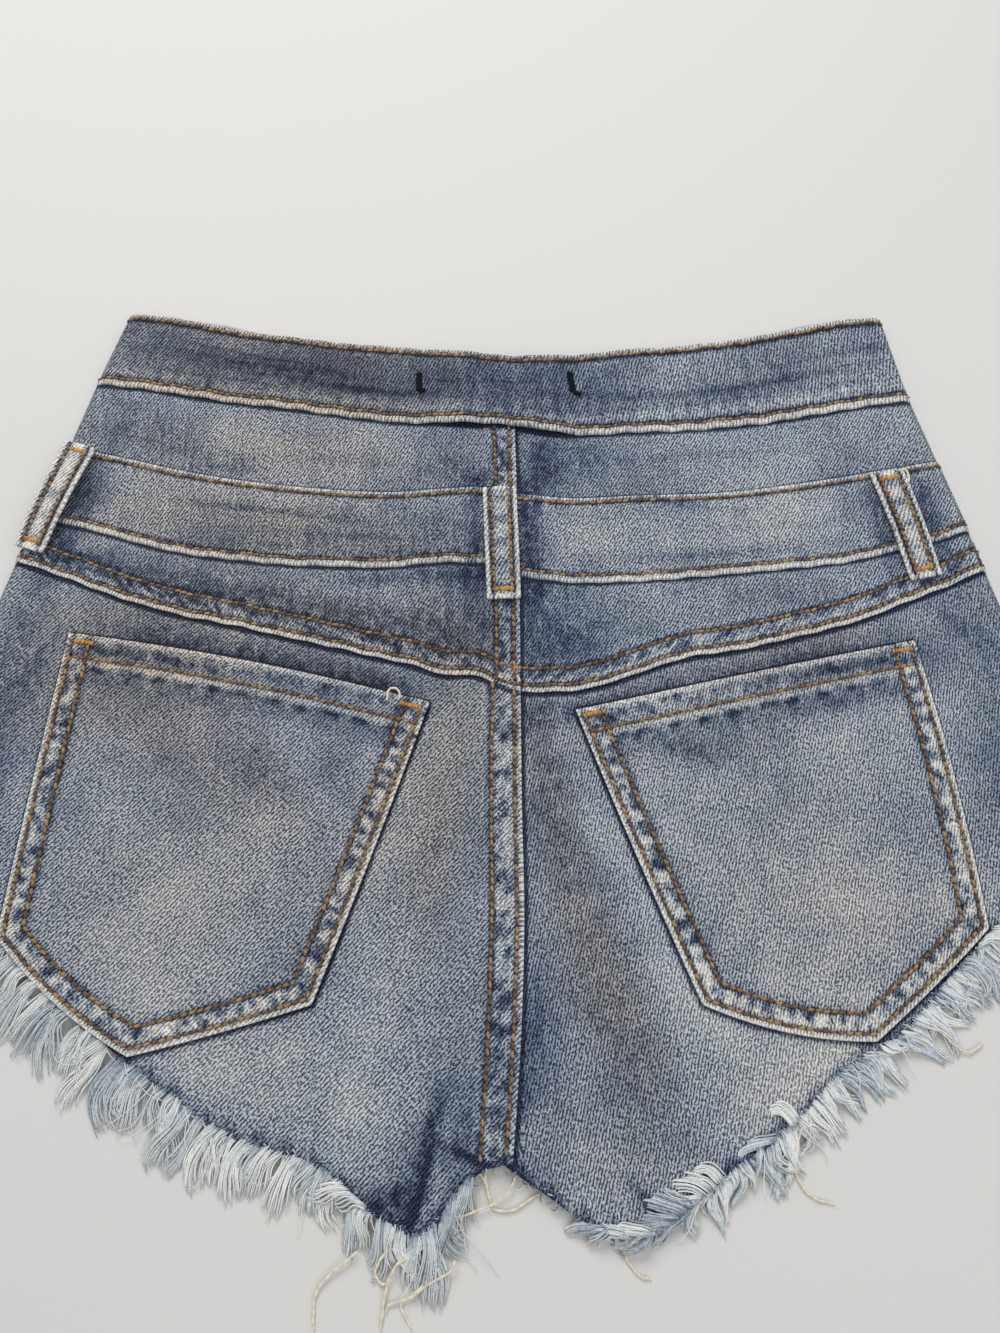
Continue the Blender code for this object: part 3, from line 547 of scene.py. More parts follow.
def backSheet(half, spec):
    # outer face between two level lines, round the side fold to the side seam
    top, foot, extra = spec["top"], spec["foot"], spec["extra"]
    laidOver = spec["lapped"] and half == left
    laidUnder = spec["lapped"] and half == right
    fell = spec.get("fell", False)
    tuckTop = layers["tuck"] if spec["tuckTop"] else 0.0
    tuckFoot = layers["tuck"] if spec["tuckFoot"] else 0.0
    fineNear = backGrid["fineNear"] if spec["lapped"] else 0.0
    width = spaced(backGrid["width"], spec["pitch"], fineNear, 0.0, spec["finePitch"])
    depth = spaced(spec["depth"], spec["pitch"], spec["fineTop"], spec["fineFoot"], spec["finePitch"])
    across, down = width / width[-1], depth / depth[-1]

    def yAt(share, v):
        return mix(lineY(top, half, share) + tuckTop, lineY(foot, half, share) - tuckFoot, v)

    foldY = yAt(layers["foldShare"], down)
    second = lapLift(foldY - foldY[-1]) if fell else np.zeros_like(down)
    radii = (layers["foldTop"] + extra + second) / 2
    farX = sideX(half, foldY)
    angle, turn = backGrid["foldAngles"], layers["sideTurn"] * backGrid["turnShares"]
    bent = np.ones(len(angle) + len(turn))
    rows = []
    for v, radius, sideY, side in zip(down, radii, foldY, farX):
        nearX = seamX(yAt(0.0, v)) - (2.0 if laidUnder else 0.15)
        edgeX = side - half * radius
        x = mix(nearX, edgeX, across)
        share = np.clip((x - nearX) / (side - nearX), 0, 1)
        y = yAt(share, v)
        topY, footY = lineY(top, half, share), lineY(foot, half, share)
        near = half * (x - seamX(y))
        lift = lapLift(near) if laidOver else np.zeros_like(x)
        if fell:
            lift = np.maximum(lift, lapLift(y - footY))
        height = backHeight(x, y) + raised(x, y, spec["creases"]) + lift + extra
        height = np.maximum(height, layers["backTop"] - 0.15 + extra)
        z = toFold(height, half, x, y, radius)
        rounded = abs(edgeX) + radius * angle
        beneath = abs(edgeX) + radius * math.pi + turn
        rows.append((
            np.concatenate([x, edgeX + half * radius * np.sin(angle), edgeX - half * turn]),
            np.concatenate([y, bent * sideY]),
            np.concatenate([z, radius * (1 + np.cos(angle)), 0 * turn]),
            np.concatenate([abs(x - seamX(0)), rounded, beneath]),
            np.concatenate([y - footY, bent * (sideY - footY[-1])]),
            np.concatenate([topY - y, bent * (topY[-1] - sideY)]),
            np.concatenate([near, bent * backGrid["clearOfSeam"]]),
        ))
    x, y, z, run, low, high, near = np.array(rows).transpose(1, 0, 2)
    if foot != "hem" and not spec["tuckFoot"]:
        y = y + ripple(run, spec["seed"] + 7 * half) * bell(low, 9.0)
    relief = np.zeros_like(run)
    light, dark, brown = fadeAndShade(x, y)
    for side, rows, options in spec["edges"]:
        if side == "near" and not laidOver:
            continue
        distance = {"foot": low, "top": high, "near": near}[side]
        along = y if side == "near" else run
        adds = sewnEdge(distance, along, rows, spec["seed"] + half + len(rows), **options)
        relief += adds[0]
        light += adds[1]
        dark += adds[2]
    # distance to the edge of a piece lying on top (a lapped seam, a tucked edge, a pocket); the shader paints
    # a dark line of shade there
    cover = np.full(run.shape, layers["uncovered"])
    if laidUnder:
        cover = np.minimum(cover, near - 0.5)
    for tucked, gap, clear in ((tuckTop, high, 1.0), (tuckFoot, low, 0.2)):
        if tucked:
            cover = np.minimum(cover, gap - clear)
            relief -= 0.35 * smooth(-gap / layers["tuck"])
    if foot == "hem":
        ragged = unevenWave(run, 5.0, 31 + half) + 0.6 * unevenWave(run, 1.7, 41 + half)
        dark += 0.62 * within(low, 5.4 + 2.6 * ragged, 5.6)
        light -= 0.2 * within(low, 8, 6)
        gaps = [nearestOnEdge(x, y, pocketEdge(half, k, np.linspace(0, 1, 120)))[0] for k in range(5)]
        cover = np.minimum(cover, np.min(gaps, axis=0) - 0.4)
        start, darker, spread, browner = pocketShade[half]
        shaded = past(half * x, start, 20) * within(half * x, 165, 30)
        dark += darker * bell(gaps[0] - 1.0, spread) * shaded
        brown += browner * bell(gaps[0], 10.0) * shaded
        # a dark line of painted crease shadow along each fold, strongest at its deep end
        for fold, places in foldLines:
            if fold == half:
                gap, runOut = nearestOnEdge(x, y, curvePath(places, np.linspace(0, 1, 50)))
                cover = np.minimum(cover, gap + 1.6 * (runOut / runOut.max()) ** 2)
    coords = np.stack([half * run, y], axis=-1)
    return finishSheet(np.stack([x, y, z], axis=-1), half, relief, coords, light, dark, brown, cover)


# Each edge's rows of stitches are given by their distances in from it
backPieces = {
    "upperYoke": {
        "node": "upper_yoke", "top": "bandSeam", "foot": "bandTop", "depth": 34.0, "pitch": 1.7,
        "finePitch": 1.1, "fineTop": 3.0, "fineFoot": 3.0, "tuckTop": True, "tuckFoot": True,
        "lapped": True, "extra": 0.0, "creases": yokeCreases, "seed": 11, "flat": (0.225, 0.036),
        "edges": (("near", (2.2, 8.6), {"rope": 0.7, "pucker": 0.6}),),
    },
    "midBand": {
        "node": "mid_band", "top": "bandTop", "foot": "bandFoot", "depth": 34.0, "pitch": 1.6,
        "finePitch": 0.9, "fineTop": 4.0, "fineFoot": 5.0, "tuckTop": False, "tuckFoot": False,
        "lapped": False, "extra": 0.9, "creases": yokeCreases, "seed": 23, "flat": (0.225, 0.034),
        "edges": (("top", (1.6,), {"rope": 0.75, "pucker": 0.35}), ("foot", (2.2,), {"pucker": 0.35})),
    },
    "lowerYoke": {
        "node": "lower_yoke", "top": "bandFoot", "foot": "yoke", "depth": 45.0, "pitch": 1.7,
        "finePitch": 1.0, "fineTop": 3.0, "fineFoot": 15.0, "tuckTop": True, "tuckFoot": False,
        "lapped": True, "fell": True, "extra": 0.0, "creases": yokeCreases, "seed": 37, "flat": (0.232, 0.05),
        "edges": (
            ("near", (2.2, 9.4), {"rope": 0.7, "pucker": 0.7}),
            ("foot", (2.3, 9.4), {"pucker": 0.72, "pitch": 3.3, "slant": -0.9, "blots": 1.5}),
        ),
    },
    "backPanel": {
        "node": "back_panel", "top": "yoke", "foot": "hem", "depth": 165.0, "pitch": 1.35,
        "finePitch": 1.1, "fineTop": 3.0, "fineFoot": 5.0, "tuckTop": True, "tuckFoot": False,
        "lapped": True, "extra": 0.0, "creases": creases, "seed": 53, "flat": (0.236, 0.19),
        "edges": (("near", (2.2, 11.4), {"rope": 0.85, "pucker": 0.85, "slant": 0.8}),),
    },
}


def linear(red, green, blue):
    # a colour from its 0 to 255 screen values
    parts = [v / 255 for v in (red, green, blue)]
    return tuple(v / 12.92 if v <= 0.04045 else ((v + 0.055) / 1.055) ** 2.4 for v in parts) + (1.0,)


def addNode(tree, kind, **settings):
    node = tree.nodes.new(kind)
    for key, value in settings.items():
        setattr(node, key, value)
    return node


def feed(tree, socket, value):
    if isinstance(value, bpy.types.NodeSocket):
        tree.links.new(value, socket)
    elif value is not None:
        socket.default_value = value


def calc(tree, operation, a, b=None, c=None, clamp=False):
    node = addNode(tree, "ShaderNodeMath", operation=operation, use_clamp=clamp)
    for socket, value in zip(node.inputs, (a, b, c)):
        feed(tree, socket, value)
    return node.outputs[0]


def blendColour(tree, amount, a, b, mode="MIX"):
    node = addNode(tree, "ShaderNodeMix", data_type="RGBA", blend_type=mode)
    feed(tree, node.inputs[0], amount)
    feed(tree, node.inputs[6], a)
    feed(tree, node.inputs[7], b)
    return node.outputs[2]


def ramp(tree, value, stops):
    node = addNode(tree, "ShaderNodeValToRGB")
    while len(node.color_ramp.elements) < len(stops):
        node.color_ramp.elements.new(0.5)
    for element, (place, colour) in zip(node.color_ramp.elements, stops):
        element.position = place
        element.color = colour
    feed(tree, node.inputs[0], value)
    return node.outputs[0]


def noise(tree, vector, scale, detail=2.0, rough=0.5):
    node = addNode(tree, "ShaderNodeTexNoise")
    feed(tree, node.inputs["Vector"], vector)
    feed(tree, node.inputs["Scale"], scale)
    feed(tree, node.inputs["Detail"], detail)
    feed(tree, node.inputs["Roughness"], rough)
    return node.outputs[0]


def stretched(tree, vector, scale):
    node = addNode(tree, "ShaderNodeMapping")
    feed(tree, node.inputs["Vector"], vector)
    feed(tree, node.inputs["Scale"], scale)
    return node.outputs[0]


def newGroup(name, inputs, outputs):
    tree = bpy.data.node_groups.new(name, "ShaderNodeTree")
    for label, kind in inputs:
        tree.interface.new_socket(label, in_out="INPUT", socket_type=kind)
    for label, kind in outputs:
        tree.interface.new_socket(label, in_out="OUTPUT", socket_type=kind)
    return tree, addNode(tree, "NodeGroupInput").outputs, addNode(tree, "NodeGroupOutput").inputs


def swing(tree, value, amount, base=0.0, middle=0.5, clamp=False):
    # how far a value is from its middle, scaled and set on a base
    return calc(tree, "MULTIPLY_ADD", calc(tree, "SUBTRACT", value, middle), amount, base, clamp)


def attribute(tree, name, output):
    return addNode(tree, "ShaderNodeAttribute", attribute_name=name).outputs[output]


def newMaterial(name, specular=0.25):
    made = bpy.data.materials.new(name)
    made.use_nodes = True
    shader = made.node_tree.nodes["Principled BSDF"]
    shader.inputs["Specular IOR Level"].default_value = specular
    return made, made.node_tree, shader


def roughen(tree, shader, height, strength, distance):
    bump = addNode(tree, "ShaderNodeBump")
    bump.inputs["Strength"].default_value = strength
    bump.inputs["Distance"].default_value = distance * mm
    feed(tree, bump.inputs["Height"], height)
    feed(tree, shader.inputs["Normal"], bump.outputs[0])


def buildTwill():
    # diagonal ribs of blue warp with the pale weft showing between them, lengths in mm
    tree, given, put = newGroup(
        "twillWeave",
        (("Vector", "NodeSocketVector"), ("Pitch", "NodeSocketFloat"), ("Angle", "NodeSocketFloat")),
        (("Weft", "NodeSocketFloat"), ("Height", "NodeSocketFloat")),
    )
    turned = addNode(tree, "ShaderNodeVectorRotate", rotation_type="Z_AXIS")
    feed(tree, turned.inputs["Vector"], given["Vector"])
    feed(tree, turned.inputs["Angle"], given["Angle"])
    parts = addNode(tree, "ShaderNodeSeparateXYZ")
    feed(tree, parts.inputs[0], turned.outputs[0])
    across = swing(tree, noise(tree, turned.outputs[0], 0.55), 0.9, parts.outputs[1])
    phase = calc(tree, "MULTIPLY", calc(tree, "DIVIDE", across, given["Pitch"]), 2 * math.pi)
    ribs = calc(tree, "MULTIPLY_ADD", calc(tree, "SINE", phase), 0.5, 0.5)
    speckle = noise(tree, stretched(tree, turned.outputs[0], (0.92, 1.4, 1.0)), 1.0, 2.0, 0.6)
    grains = swing(tree, speckle, 4.4, 0.5, clamp=True)
    weft = calc(tree, "MULTIPLY_ADD", ribs, 0.6, calc(tree, "MULTIPLY", grains, 0.76))
    feed(tree, put["Weft"], swing(tree, weft, 2.55, 0.5, middle=0.7, clamp=True))
    feed(tree, put["Height"], calc(tree, "MULTIPLY_ADD", ribs, 0.7, calc(tree, "MULTIPLY", grains, 0.5)))
    return tree


def buildWash():
    # fading that drifts over the garment, with fine streaks along the warp
    tree, given, put = newGroup(
        "stoneWash",
        (("Vector", "NodeSocketVector"), ("Streaks", "NodeSocketFloat")),
        [(name, "NodeSocketFloat") for name in ("Fade", "Cast", "Fuzz", "Patchy")],
    )
    place = given["Vector"]
    broad = calc(tree, "SUBTRACT", noise(tree, place, 0.02, 3.0), 0.5)
    fadeSum = calc(tree, "MULTIPLY", calc(tree, "SUBTRACT", noise(tree, place, 0.09, 3.0, 0.6), 0.5), 0.55)
    fadeSum = calc(tree, "MULTIPLY_ADD", broad, 0.8, fadeSum)
    streaks = noise(tree, stretched(tree, place, (0.8, 0.05, 1.0)), 1.0)
    feed(tree, put["Fade"], swing(tree, streaks, given["Streaks"], fadeSum))
    cast = noise(tree, stretched(tree, place, (1.0, 1.3, 1.0)), 0.013, 3.0)
    feed(tree, put["Cast"], swing(tree, cast, 3.0, middle=0.45, clamp=True))
    feed(tree, put["Fuzz"], noise(tree, place, 2.6, 3.0, 0.7))
    patchy = noise(tree, stretched(tree, place, (1.0, 0.7, 1.0)), 0.3, 3.0, 0.65)
    feed(tree, put["Patchy"], swing(tree, patchy, 3.2, 1.0))
    return tree


twillGroup = buildTwill()
washGroup = buildWash()

denim = {
    "warp": ((0.0, linear(180, 178, 170)), (0.25, linear(117, 121, 124)), (0.5, linear(56, 66, 81)),
             (0.75, linear(24, 33, 52)), (1.0, linear(8, 10, 24))),
    "weft": ((0.0, linear(242, 241, 234)), (0.25, linear(217, 219, 218)), (0.5, linear(180, 189, 199)),
             (0.75, linear(110, 125, 148)), (1.0, linear(48, 60, 90))),
    "brown": (1.13, 0.95, 0.79, 1.0),  # a tint, multiplied in
    "inside": linear(178, 186, 196),
    "indigo": 0.53,
}


def denimMaterial(name, angle, pitch, indigo=0.0, streaks=0.34):
    made, tree, shader = newMaterial(name)
    place = attribute(tree, "clothPlace", "Vector")
    wearAndShadingNode = addNode(tree, "ShaderNodeAttribute", attribute_name="wear")
    wear = addNode(tree, "ShaderNodeSeparateColor")
    feed(tree, wear.inputs[0], wearAndShadingNode.outputs["Color"])
    worn, deep, brown = wear.outputs
    twill = addNode(tree, "ShaderNodeGroup", node_tree=twillGroup)
    feed(tree, twill.inputs["Vector"], place)
    twill.inputs["Pitch"].default_value = pitch
    twill.inputs["Angle"].default_value = math.radians(-angle)
    washed = addNode(tree, "ShaderNodeGroup", node_tree=washGroup)
    feed(tree, washed.inputs["Vector"], place)
    washed.inputs["Streaks"].default_value = streaks
    depth = calc(tree, "MULTIPLY_ADD", washed.outputs["Fade"], -0.55, denim["indigo"] + indigo)
    # the first channel pales the cloth where it is rubbed and where a highlight is painted; the second
    # darkens it where the dye is deeper and where shade is painted
    depth = calc(tree, "MULTIPLY_ADD", worn, -0.5, depth)
    deep = calc(tree, "MULTIPLY", deep, washed.outputs["Patchy"])
    depth = calc(tree, "MULTIPLY_ADD", deep, 0.48, depth)
    # a dark line where the edge of the next piece lies on this one: painted shade under that edge, with the
    # less faded dye beside it
    line = addNode(tree, "ShaderNodeMapRange", interpolation_type="SMOOTHSTEP")
    for socket, value in zip(line.inputs, (attribute(tree, "cover", "Fac"), 0.4, 2.0, 0.5, 0.0)):
        feed(tree, socket, value)
    depth = calc(tree, "ADD", depth, line.outputs[0], clamp=True)
    warp, weft = ramp(tree, depth, denim["warp"]), ramp(tree, depth, denim["weft"])
    colour = blendColour(tree, twill.outputs["Weft"], warp, weft)
    tinge = calc(tree, "MULTIPLY_ADD", washed.outputs["Cast"], 0.15, brown, clamp=True)
    colour = blendColour(tree, tinge, colour, denim["brown"], "MULTIPLY")
    inner = calc(tree, "MULTIPLY", wearAndShadingNode.outputs["Alpha"], 0.75)
    feed(tree, shader.inputs["Base Color"], blendColour(tree, inner, colour, denim["inside"]))
    fuzz = washed.outputs["Fuzz"]
    feed(tree, shader.inputs["Roughness"], calc(tree, "MULTIPLY_ADD", fuzz, 0.2, 0.75))
    shader.inputs["Sheen Weight"].default_value = 0.05
    roughen(tree, shader, calc(tree, "MULTIPLY_ADD", fuzz, 0.8, twill.outputs["Height"]), 0.8, 0.2)
    return made


def yarnMaterial(name, stops, roughness, ply, sheen=0.2):
    # spun thread or loose yarn; the yarn attribute carries its own tone, and on stitches a painted shade at
    # their sunk ends
    made, tree, shader = newMaterial(name)
    spot = addNode(tree, "ShaderNodeTexCoord").outputs["Object"]
    fine = noise(tree, spot, ply)
    value = swing(tree, fine, 0.5, attribute(tree, "yarn", "Fac"), clamp=True)
    stops = [(place, linear(*colour)) for place, *colour in stops]
    feed(tree, shader.inputs["Base Color"], ramp(tree, value, stops))
    shader.inputs["Roughness"].default_value = roughness
    shader.inputs["Sheen Weight"].default_value = sheen
    roughen(tree, shader, fine, 0.5, 0.1)
    return made


denimFor = {
    # the waistband is a deeper blue: partly deeper dye, partly painted shade for the dimmer light over the
    # waist
    ("waist", left): denimMaterial("denimWaistband", 66, 1.38, 0.12, 0.6),
    ("band", left): denimMaterial("denimBandLeft", 60, 1.26, 0.0, 0.6),
    ("band", right): denimMaterial("denimBandRight", 60, 1.18, 0.0, 0.6),
    ("loop", left): denimMaterial("denimLoops", 60, 1.42),
    ("panel", left): denimMaterial("denimPanelLeft", 47, 1.2),
    ("panel", right): denimMaterial("denimPanelRight", 76, 1.12),
    ("pocket", left): denimMaterial("denimPocketLeft", 47, 1.22),
    ("pocket", right): denimMaterial("denimPocketRight", 74, 1.12, -0.02),
}
threadMaterial = yarnMaterial(
    "stitchThread", ((0, 32, 23, 20), (0.5, 106, 76, 46), (1, 186, 142, 84)), 0.7, 1300
)
tackMaterial = yarnMaterial(
    "barTackThread", ((0, 140, 88, 26), (0.5, 196, 134, 48), (1, 226, 172, 84)), 0.6, 1500
)
navyThread = yarnMaterial("navyThread", ((0, 3, 4, 10), (1, 14, 17, 32)), 0.9, 1500, 0.0)
fringeMaterial = yarnMaterial(
    "frayedYarn",
    ((0, 50, 66, 104), (0.25, 136, 152, 172), (0.55, 210, 216, 219), (1, 252, 250, 243)),
    0.8, 900,
)
creamYarn = yarnMaterial("looseYarn", ((0, 200, 184, 156), (1, 244, 234, 212)), 0.8, 900)

sheets = {}
sewnRound = {"top": 1.0, "foot": 1.0, "near": 1.0, "far": 1.0}


def sewPiece(label, node, sheet, thickness, material, bulge=sewnRound):
    sheets[label] = sheet
    piece = clothShell(label, sheet, thickness, material, bulge)
    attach(piece, "root")
    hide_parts(node)


for key, spec in backPieces.items():
    for half in (left, right):
        bulge = {
            "top": 0.3 if spec["tuckTop"] else 1.0,
            "foot": 0.3 if spec["tuckFoot"] or spec["foot"] == "hem" else 1.0,
            "near": 1.0 if spec["lapped"] and half == left else 0.3,
            "far": 0.3,
        }
        material = denimFor["panel" if key == "backPanel" else "band", half]
        node = f"{spec['node']}_{sideName[half].lower()}"
        thickness = layers["ply"] + spec["extra"]
        sewPiece(key + sideName[half], node, backSheet(half, spec), thickness, material, bulge)
    print("sewn", key)

band = {
    "ply": 1.8,
    "flat": (0.73, 0.038),
    "depth": 33.0,
    "rows": {"top": 2.0, "foot": 2.6},  # stitches, in from either edge
    "overlap": (20.0, -18.0),  # x of the buttonhole end and of the button end
    "frontReach": 158.0,  # x where the front's flat stretch meets the round of the fold
    "frontShift": {"waist": -4.0, "bandSeam": 1.5},
    "columns": {"front": 60, "back": 112, "fold": 9},
    "ramp": (24.0, 50.0),  # where the button end climbs over the buttonhole end
    "button": (2.0, 123.4),
    "dimple": (8.6, 12.5, 1.7),  # half widths of the flat and of the edge, depth
    "creases": (  # run, height below the top edge, half length, half width, turn, depth
        (105, -19, 52, 1.6, 1, 0.55), (-110, -11.5, 40, 1, -3, 0.4), (-95, -19.5, 50, 1, -2, 0.45),
        (-130, -27, 30, 1, 3, 0.35), (-20, -14, 40, 0.9, 3, 0.3), (70, -24, 40, 1, 2, 0.35),
        (140, -24.5, 30, 0.9, -2, 0.3), (40, -18, 30, 2.2, -2, 0.25), (-112, -15, 44, 1.8, -1, 0.5),
        (-60, -21, 34, 1.6, 2, 0.35), (-135, -24, 26, 1.5, 2, 0.3), (20, -25, 22, 1.6, 0, 0.25),
        (150, -12, 26, 1.8, 2, 0.3),
    ),
}


def frontY(name, x):
    # a line of the front: level with the back's near the sides, inside it elsewhere
    half = left if x < seamX(0) else right
    reachX = abs(sideX(half, lineY(name, half, layers["foldShare"]))) - 20.0
    share = min(1.0, max(0.0, half * (x - seamX(0)) / reachX))
    shift = band["frontShift"][name] * smooth((reachX - abs(x)) / reachX)
    return lineY(name, half, layers["foldShare"] * share) + shift


def waistbandSheet():
    depth = spaced(34.0, 1.5, 4.0, 5.0, 0.9)
    v = depth / depth[-1]
    radius = layers["bandFoldTop"] / 2
    flat, edge, dip = band["dimple"]
    buttonX, buttonY = band["button"]
    low, high = band["ramp"]
    counts = band["columns"]

    def frontColumn(x, climbs):
        y = mix(frontY("waist", x) - 2.6 * bell(x + 104, 42), frontY("bandSeam", x), v)
        hollow = dip * fade(x - buttonX, flat, edge) * fade(y - buttonY, flat, edge)
        climb = smooth((high - x) / (high - low)) * (band["ply"] + 0.3) if climbs else 0.0
        return np.column_stack([np.full(len(v), x), y, hollow + climb])

    def halfColumns(half):
        # from the centre back out to the side fold and round it
        def yAt(share):
            share = share * layers["foldShare"]
            return mix(lineY("waist", half, share), lineY("bandSeam", half, share), v)

        foldY = yAt(1.0)
        edgeX = sideX(half, foldY) - half * radius
        made = []
        for share in np.linspace(0, 1, counts["back"])[:-1]:
            y = yAt(share)
            x = mix(seamX(y), edgeX, share)
            made.append(np.column_stack([x, y, toFold(bandHeight(x), half, x, y, radius)]))
        for angle in np.linspace(0, math.pi, counts["fold"]):
            x = edgeX + half * radius * math.sin(angle)
            made.append(np.column_stack([x, foldY, np.full(len(v), radius * (1 + math.cos(angle)))]))
        return made

    buttonhole, buttonEnd = band["overlap"]
    reachX = band["frontReach"]
    columns = [frontColumn(x, False) for x in np.linspace(buttonhole, -reachX, counts["front"])]
    columns += halfColumns(left)[::-1]
    middle = len(columns) - 1
    columns += halfColumns(right)[1:]
    columns += [frontColumn(x, True) for x in np.linspace(reachX, buttonEnd, counts["front"])]
    base = np.array(columns).transpose(1, 0, 2)
    along = np.arange(len(columns)) * 1.6
    down = v[:, None]
    base[..., 1] += 1.25 * ripple(along, 3) * down**2 + 0.8 * ripple(along, 9) * (1 - down) ** 2
    run = lengthAlong(base[len(v) // 2])
    run = np.tile(run - run[middle], (len(v), 1))
    drop = np.tile(down * band["depth"], (1, len(columns)))
    rise = band["depth"] - drop
    atTop = sewnEdge(drop, run, (band["rows"]["top"],), 71, rope=0.8, pucker=0.3)
    atFoot = sewnEdge(rise, run, (band["rows"]["foot"],), 83, pucker=0.45)
    relief, light, dark = (top + foot for top, foot in zip(atTop, atFoot))
    folds = raised(run, -drop, band["creases"])
    relief += 0.35 * unevenWave(run, 17.0, 5) * bell(drop - 17, 12) - 0.5 * folds
    # the creases are also darkened: painted shade in their valleys
    dark += 0.9 * folds
    light += 0.34 * bell(drop - 26.5, 3.0) * (0.5 + 0.5 * unevenWave(run, 4.0, 9))
    # darker over the left and the middle of the band: partly deeper dye, partly painted shade
    shaded = 0.2 * bell(run + 110, 60) + 0.34 * bell(run - 4, 34)
    dark += shaded + 0.08 * bell(drop - 14, 8) * bell(run + 40, 60)
    brown = 1.15 * bell(run + 105, 76) + 0.1
    streak = 0.1 * unevenWave(run, 3.6, 15) * bell(drop - 22, 9)
    light += np.clip(streak, 0, 1) + 0.1 * bell(run - 120, 60)
    dark -= np.clip(streak, -1, 0)
    return finishSheet(base, 1, relief, np.stack([run, -drop], axis=-1), light, dark, brown)


sewPiece("waistStrip", "waistband", waistbandSheet(), band["ply"], denimFor["waist", left],
         {"top": 1.0, "foot": 1.0, "near": 0.8, "far": 0.8})
print("sewn waistband")

pocketGrid = {"low": 66.0, "high": 64.0, "down": 118.0, "pitch": 1.5, "finePitch": 1.1, "tipShare": 0.56}


def pocketSheet(half):
    pitch, fine, tip = pocketGrid["pitch"], pocketGrid["finePitch"], pocketGrid["tipShare"]
    low = spaced(pocketGrid["low"], pitch, 0, 10.0, fine)[::-1]
    high = spaced(pocketGrid["high"], pitch, 10.0, 0, fine)[::-1]
    a = np.concatenate([tip * (1 - low / low[0]), tip + (1 - tip) * (1 - high / high[0])[1:]])
    downTo = spaced(pocketGrid["down"], pitch, 13.0, 10.0, fine)
    b = downTo / downTo[-1]
    footLine = np.where(
        (a < tip)[:, None],
        pocketEdge(half, 3, 1 - np.minimum(a / tip, 1.0)),
        pocketEdge(half, 2, 1 - np.maximum((a - tip) / (1 - tip), 0.0)),
    )
    plan = mix(pocketEdge(half, 0, a)[None], footLine[None], b[:, None, None])
    for k, weight, t in ((4, 1 - a, 1 - b), (1, a, b)):
        bowed = pocketEdge(half, k, t)
        straight = mix(bowed[0], bowed[-1], b[:, None])
        plan += (bowed - straight)[:, None, :] * weight[None, :, None]
    x, y = plan[..., 0], plan[..., 1]
    edges = [nearestOnEdge(x, y, pocketEdge(half, k, np.linspace(0, 1, 240))) for k in range(5)]
    topGap, topRun = edges[0]
    sideGaps = np.array([gap for gap, run in edges[1:]])
    gap = sideGaps.min(axis=0)
    run = np.choose(sideGaps.argmin(axis=0), [run + 160 * k for k, (_, run) in enumerate(edges)][1:])
    outer, inner, hem = pocketRows["outer"], pocketRows["inner"], pocketRows["hem"]
    relief, light, dark = sewnEdge(gap, run, (outer, inner), 91 + half)
    belowHem = past(topGap, 7, 4)
    light *= mix(0.55, 1.0, belowHem)
    dark *= mix(0.6, 1.0, belowHem)
    wave = unevenWave(topRun, 8.0, 7 + half)
    broken = smooth(1.1 * unevenWave(topRun, 6.0, 3 + half) + 0.4)
    relief += -0.28 * bell(topGap - hem, 0.7) + 0.2 * wave * bell(topGap - 5, 3.0)
    light += 0.6 * within(topGap, 2.0, 1.2) + 0.75 * bell(topGap - hem - 2.0, 1.2) * (0.75 + 0.25 * wave)
    light += 0.22 * bell(topGap - 5, 3.0) * (1 + wave)
    # the first stripe darkens the hem's stitch row: less faded dye and painted shade
    dark += stripes(topGap, ((0.45, hem, 0.95), (0.2, hem + 8, 4.0), (0.25, 5, 3)))
    dark += 0.9 * bell(topGap - hem - 4.4 - 0.8 * wave, 1.2) * broken
    dark += 0.8 * spots(topRun, topGap, 9.0, hem + 4.2, 1.4, 57 + half)
    dark += 1.2 * spots(topRun, topGap, 5.2, 4.6, 2.2, 17 + half) * within(topGap, 8.4, 1.4)
    dark += 0.7 * bell(topGap - 5.6, 1.7) * bell(topRun - 117, 24)
    # a dark line just inside the inner stitch row: less faded dye and painted shade
    dark += 0.22 * bell(gap - inner - 1.6, 1.4)
    worn, deep, brown = fadeAndShade(x, y)
    turnedIn = np.maximum(0.5 * within(gap, 9.6, 1.6), 0.75 * within(topGap, 12.2, 1.8))
    z = backHeight(x, y) + raised(x, y, creases) + 1.5 + turnedIn
    coords = np.stack([x + 7 * half, y], axis=-1)
    base = np.stack([x, y, z], axis=-1)
    return finishSheet(base, half, relief, coords, worn + light, deep + dark, brown + 0.1)


for half in (left, right):
    side = sideName[half]
    sheet = pocketSheet(half)
    sewPiece("pocket" + side, "pocket_" + side.lower(), sheet, layers["ply"], denimFor["pocket", half])
print("sewn pockets")

# Each loop's fading ends at paleTo; the tacks are shares of its length
loops = {
    "beltLoopCentre": {
        "node": "belt_loop_centre", "top": (-0.2, 76.2), "foot": (1.6, 27), "widths": (13.2, 12.8),
        "pale": 0.3, "paleTo": 37.0, "tacks": (0.93,), "on": ["midBandLeft", "midBandRight"],
    },
    "beltLoopLeft": {
        "node": "belt_loop_left", "top": (-178.5, 97), "foot": (-193.0, 49), "widths": (13.0, 12.0),
        "pale": 0.62, "paleTo": 60.0, "tacks": (0.055, 0.93), "on": ["midBandLeft", "lowerYokeLeft"],
    },
    "beltLoopRight": {
        "node": "belt_loop_right", "top": (163.5, 84.6), "foot": (173.5, 37), "widths": (13.6, 12.6),
        "pale": 0.55, "paleTo": 60.0, "tacks": (0.055, 0.93), "on": ["midBandRight", "lowerYokeRight"],
    },
}
loopCloth = {"ply": 1.4, "row": 2.9, "tack": 2.6, "flat": (0.014, 0.05)}


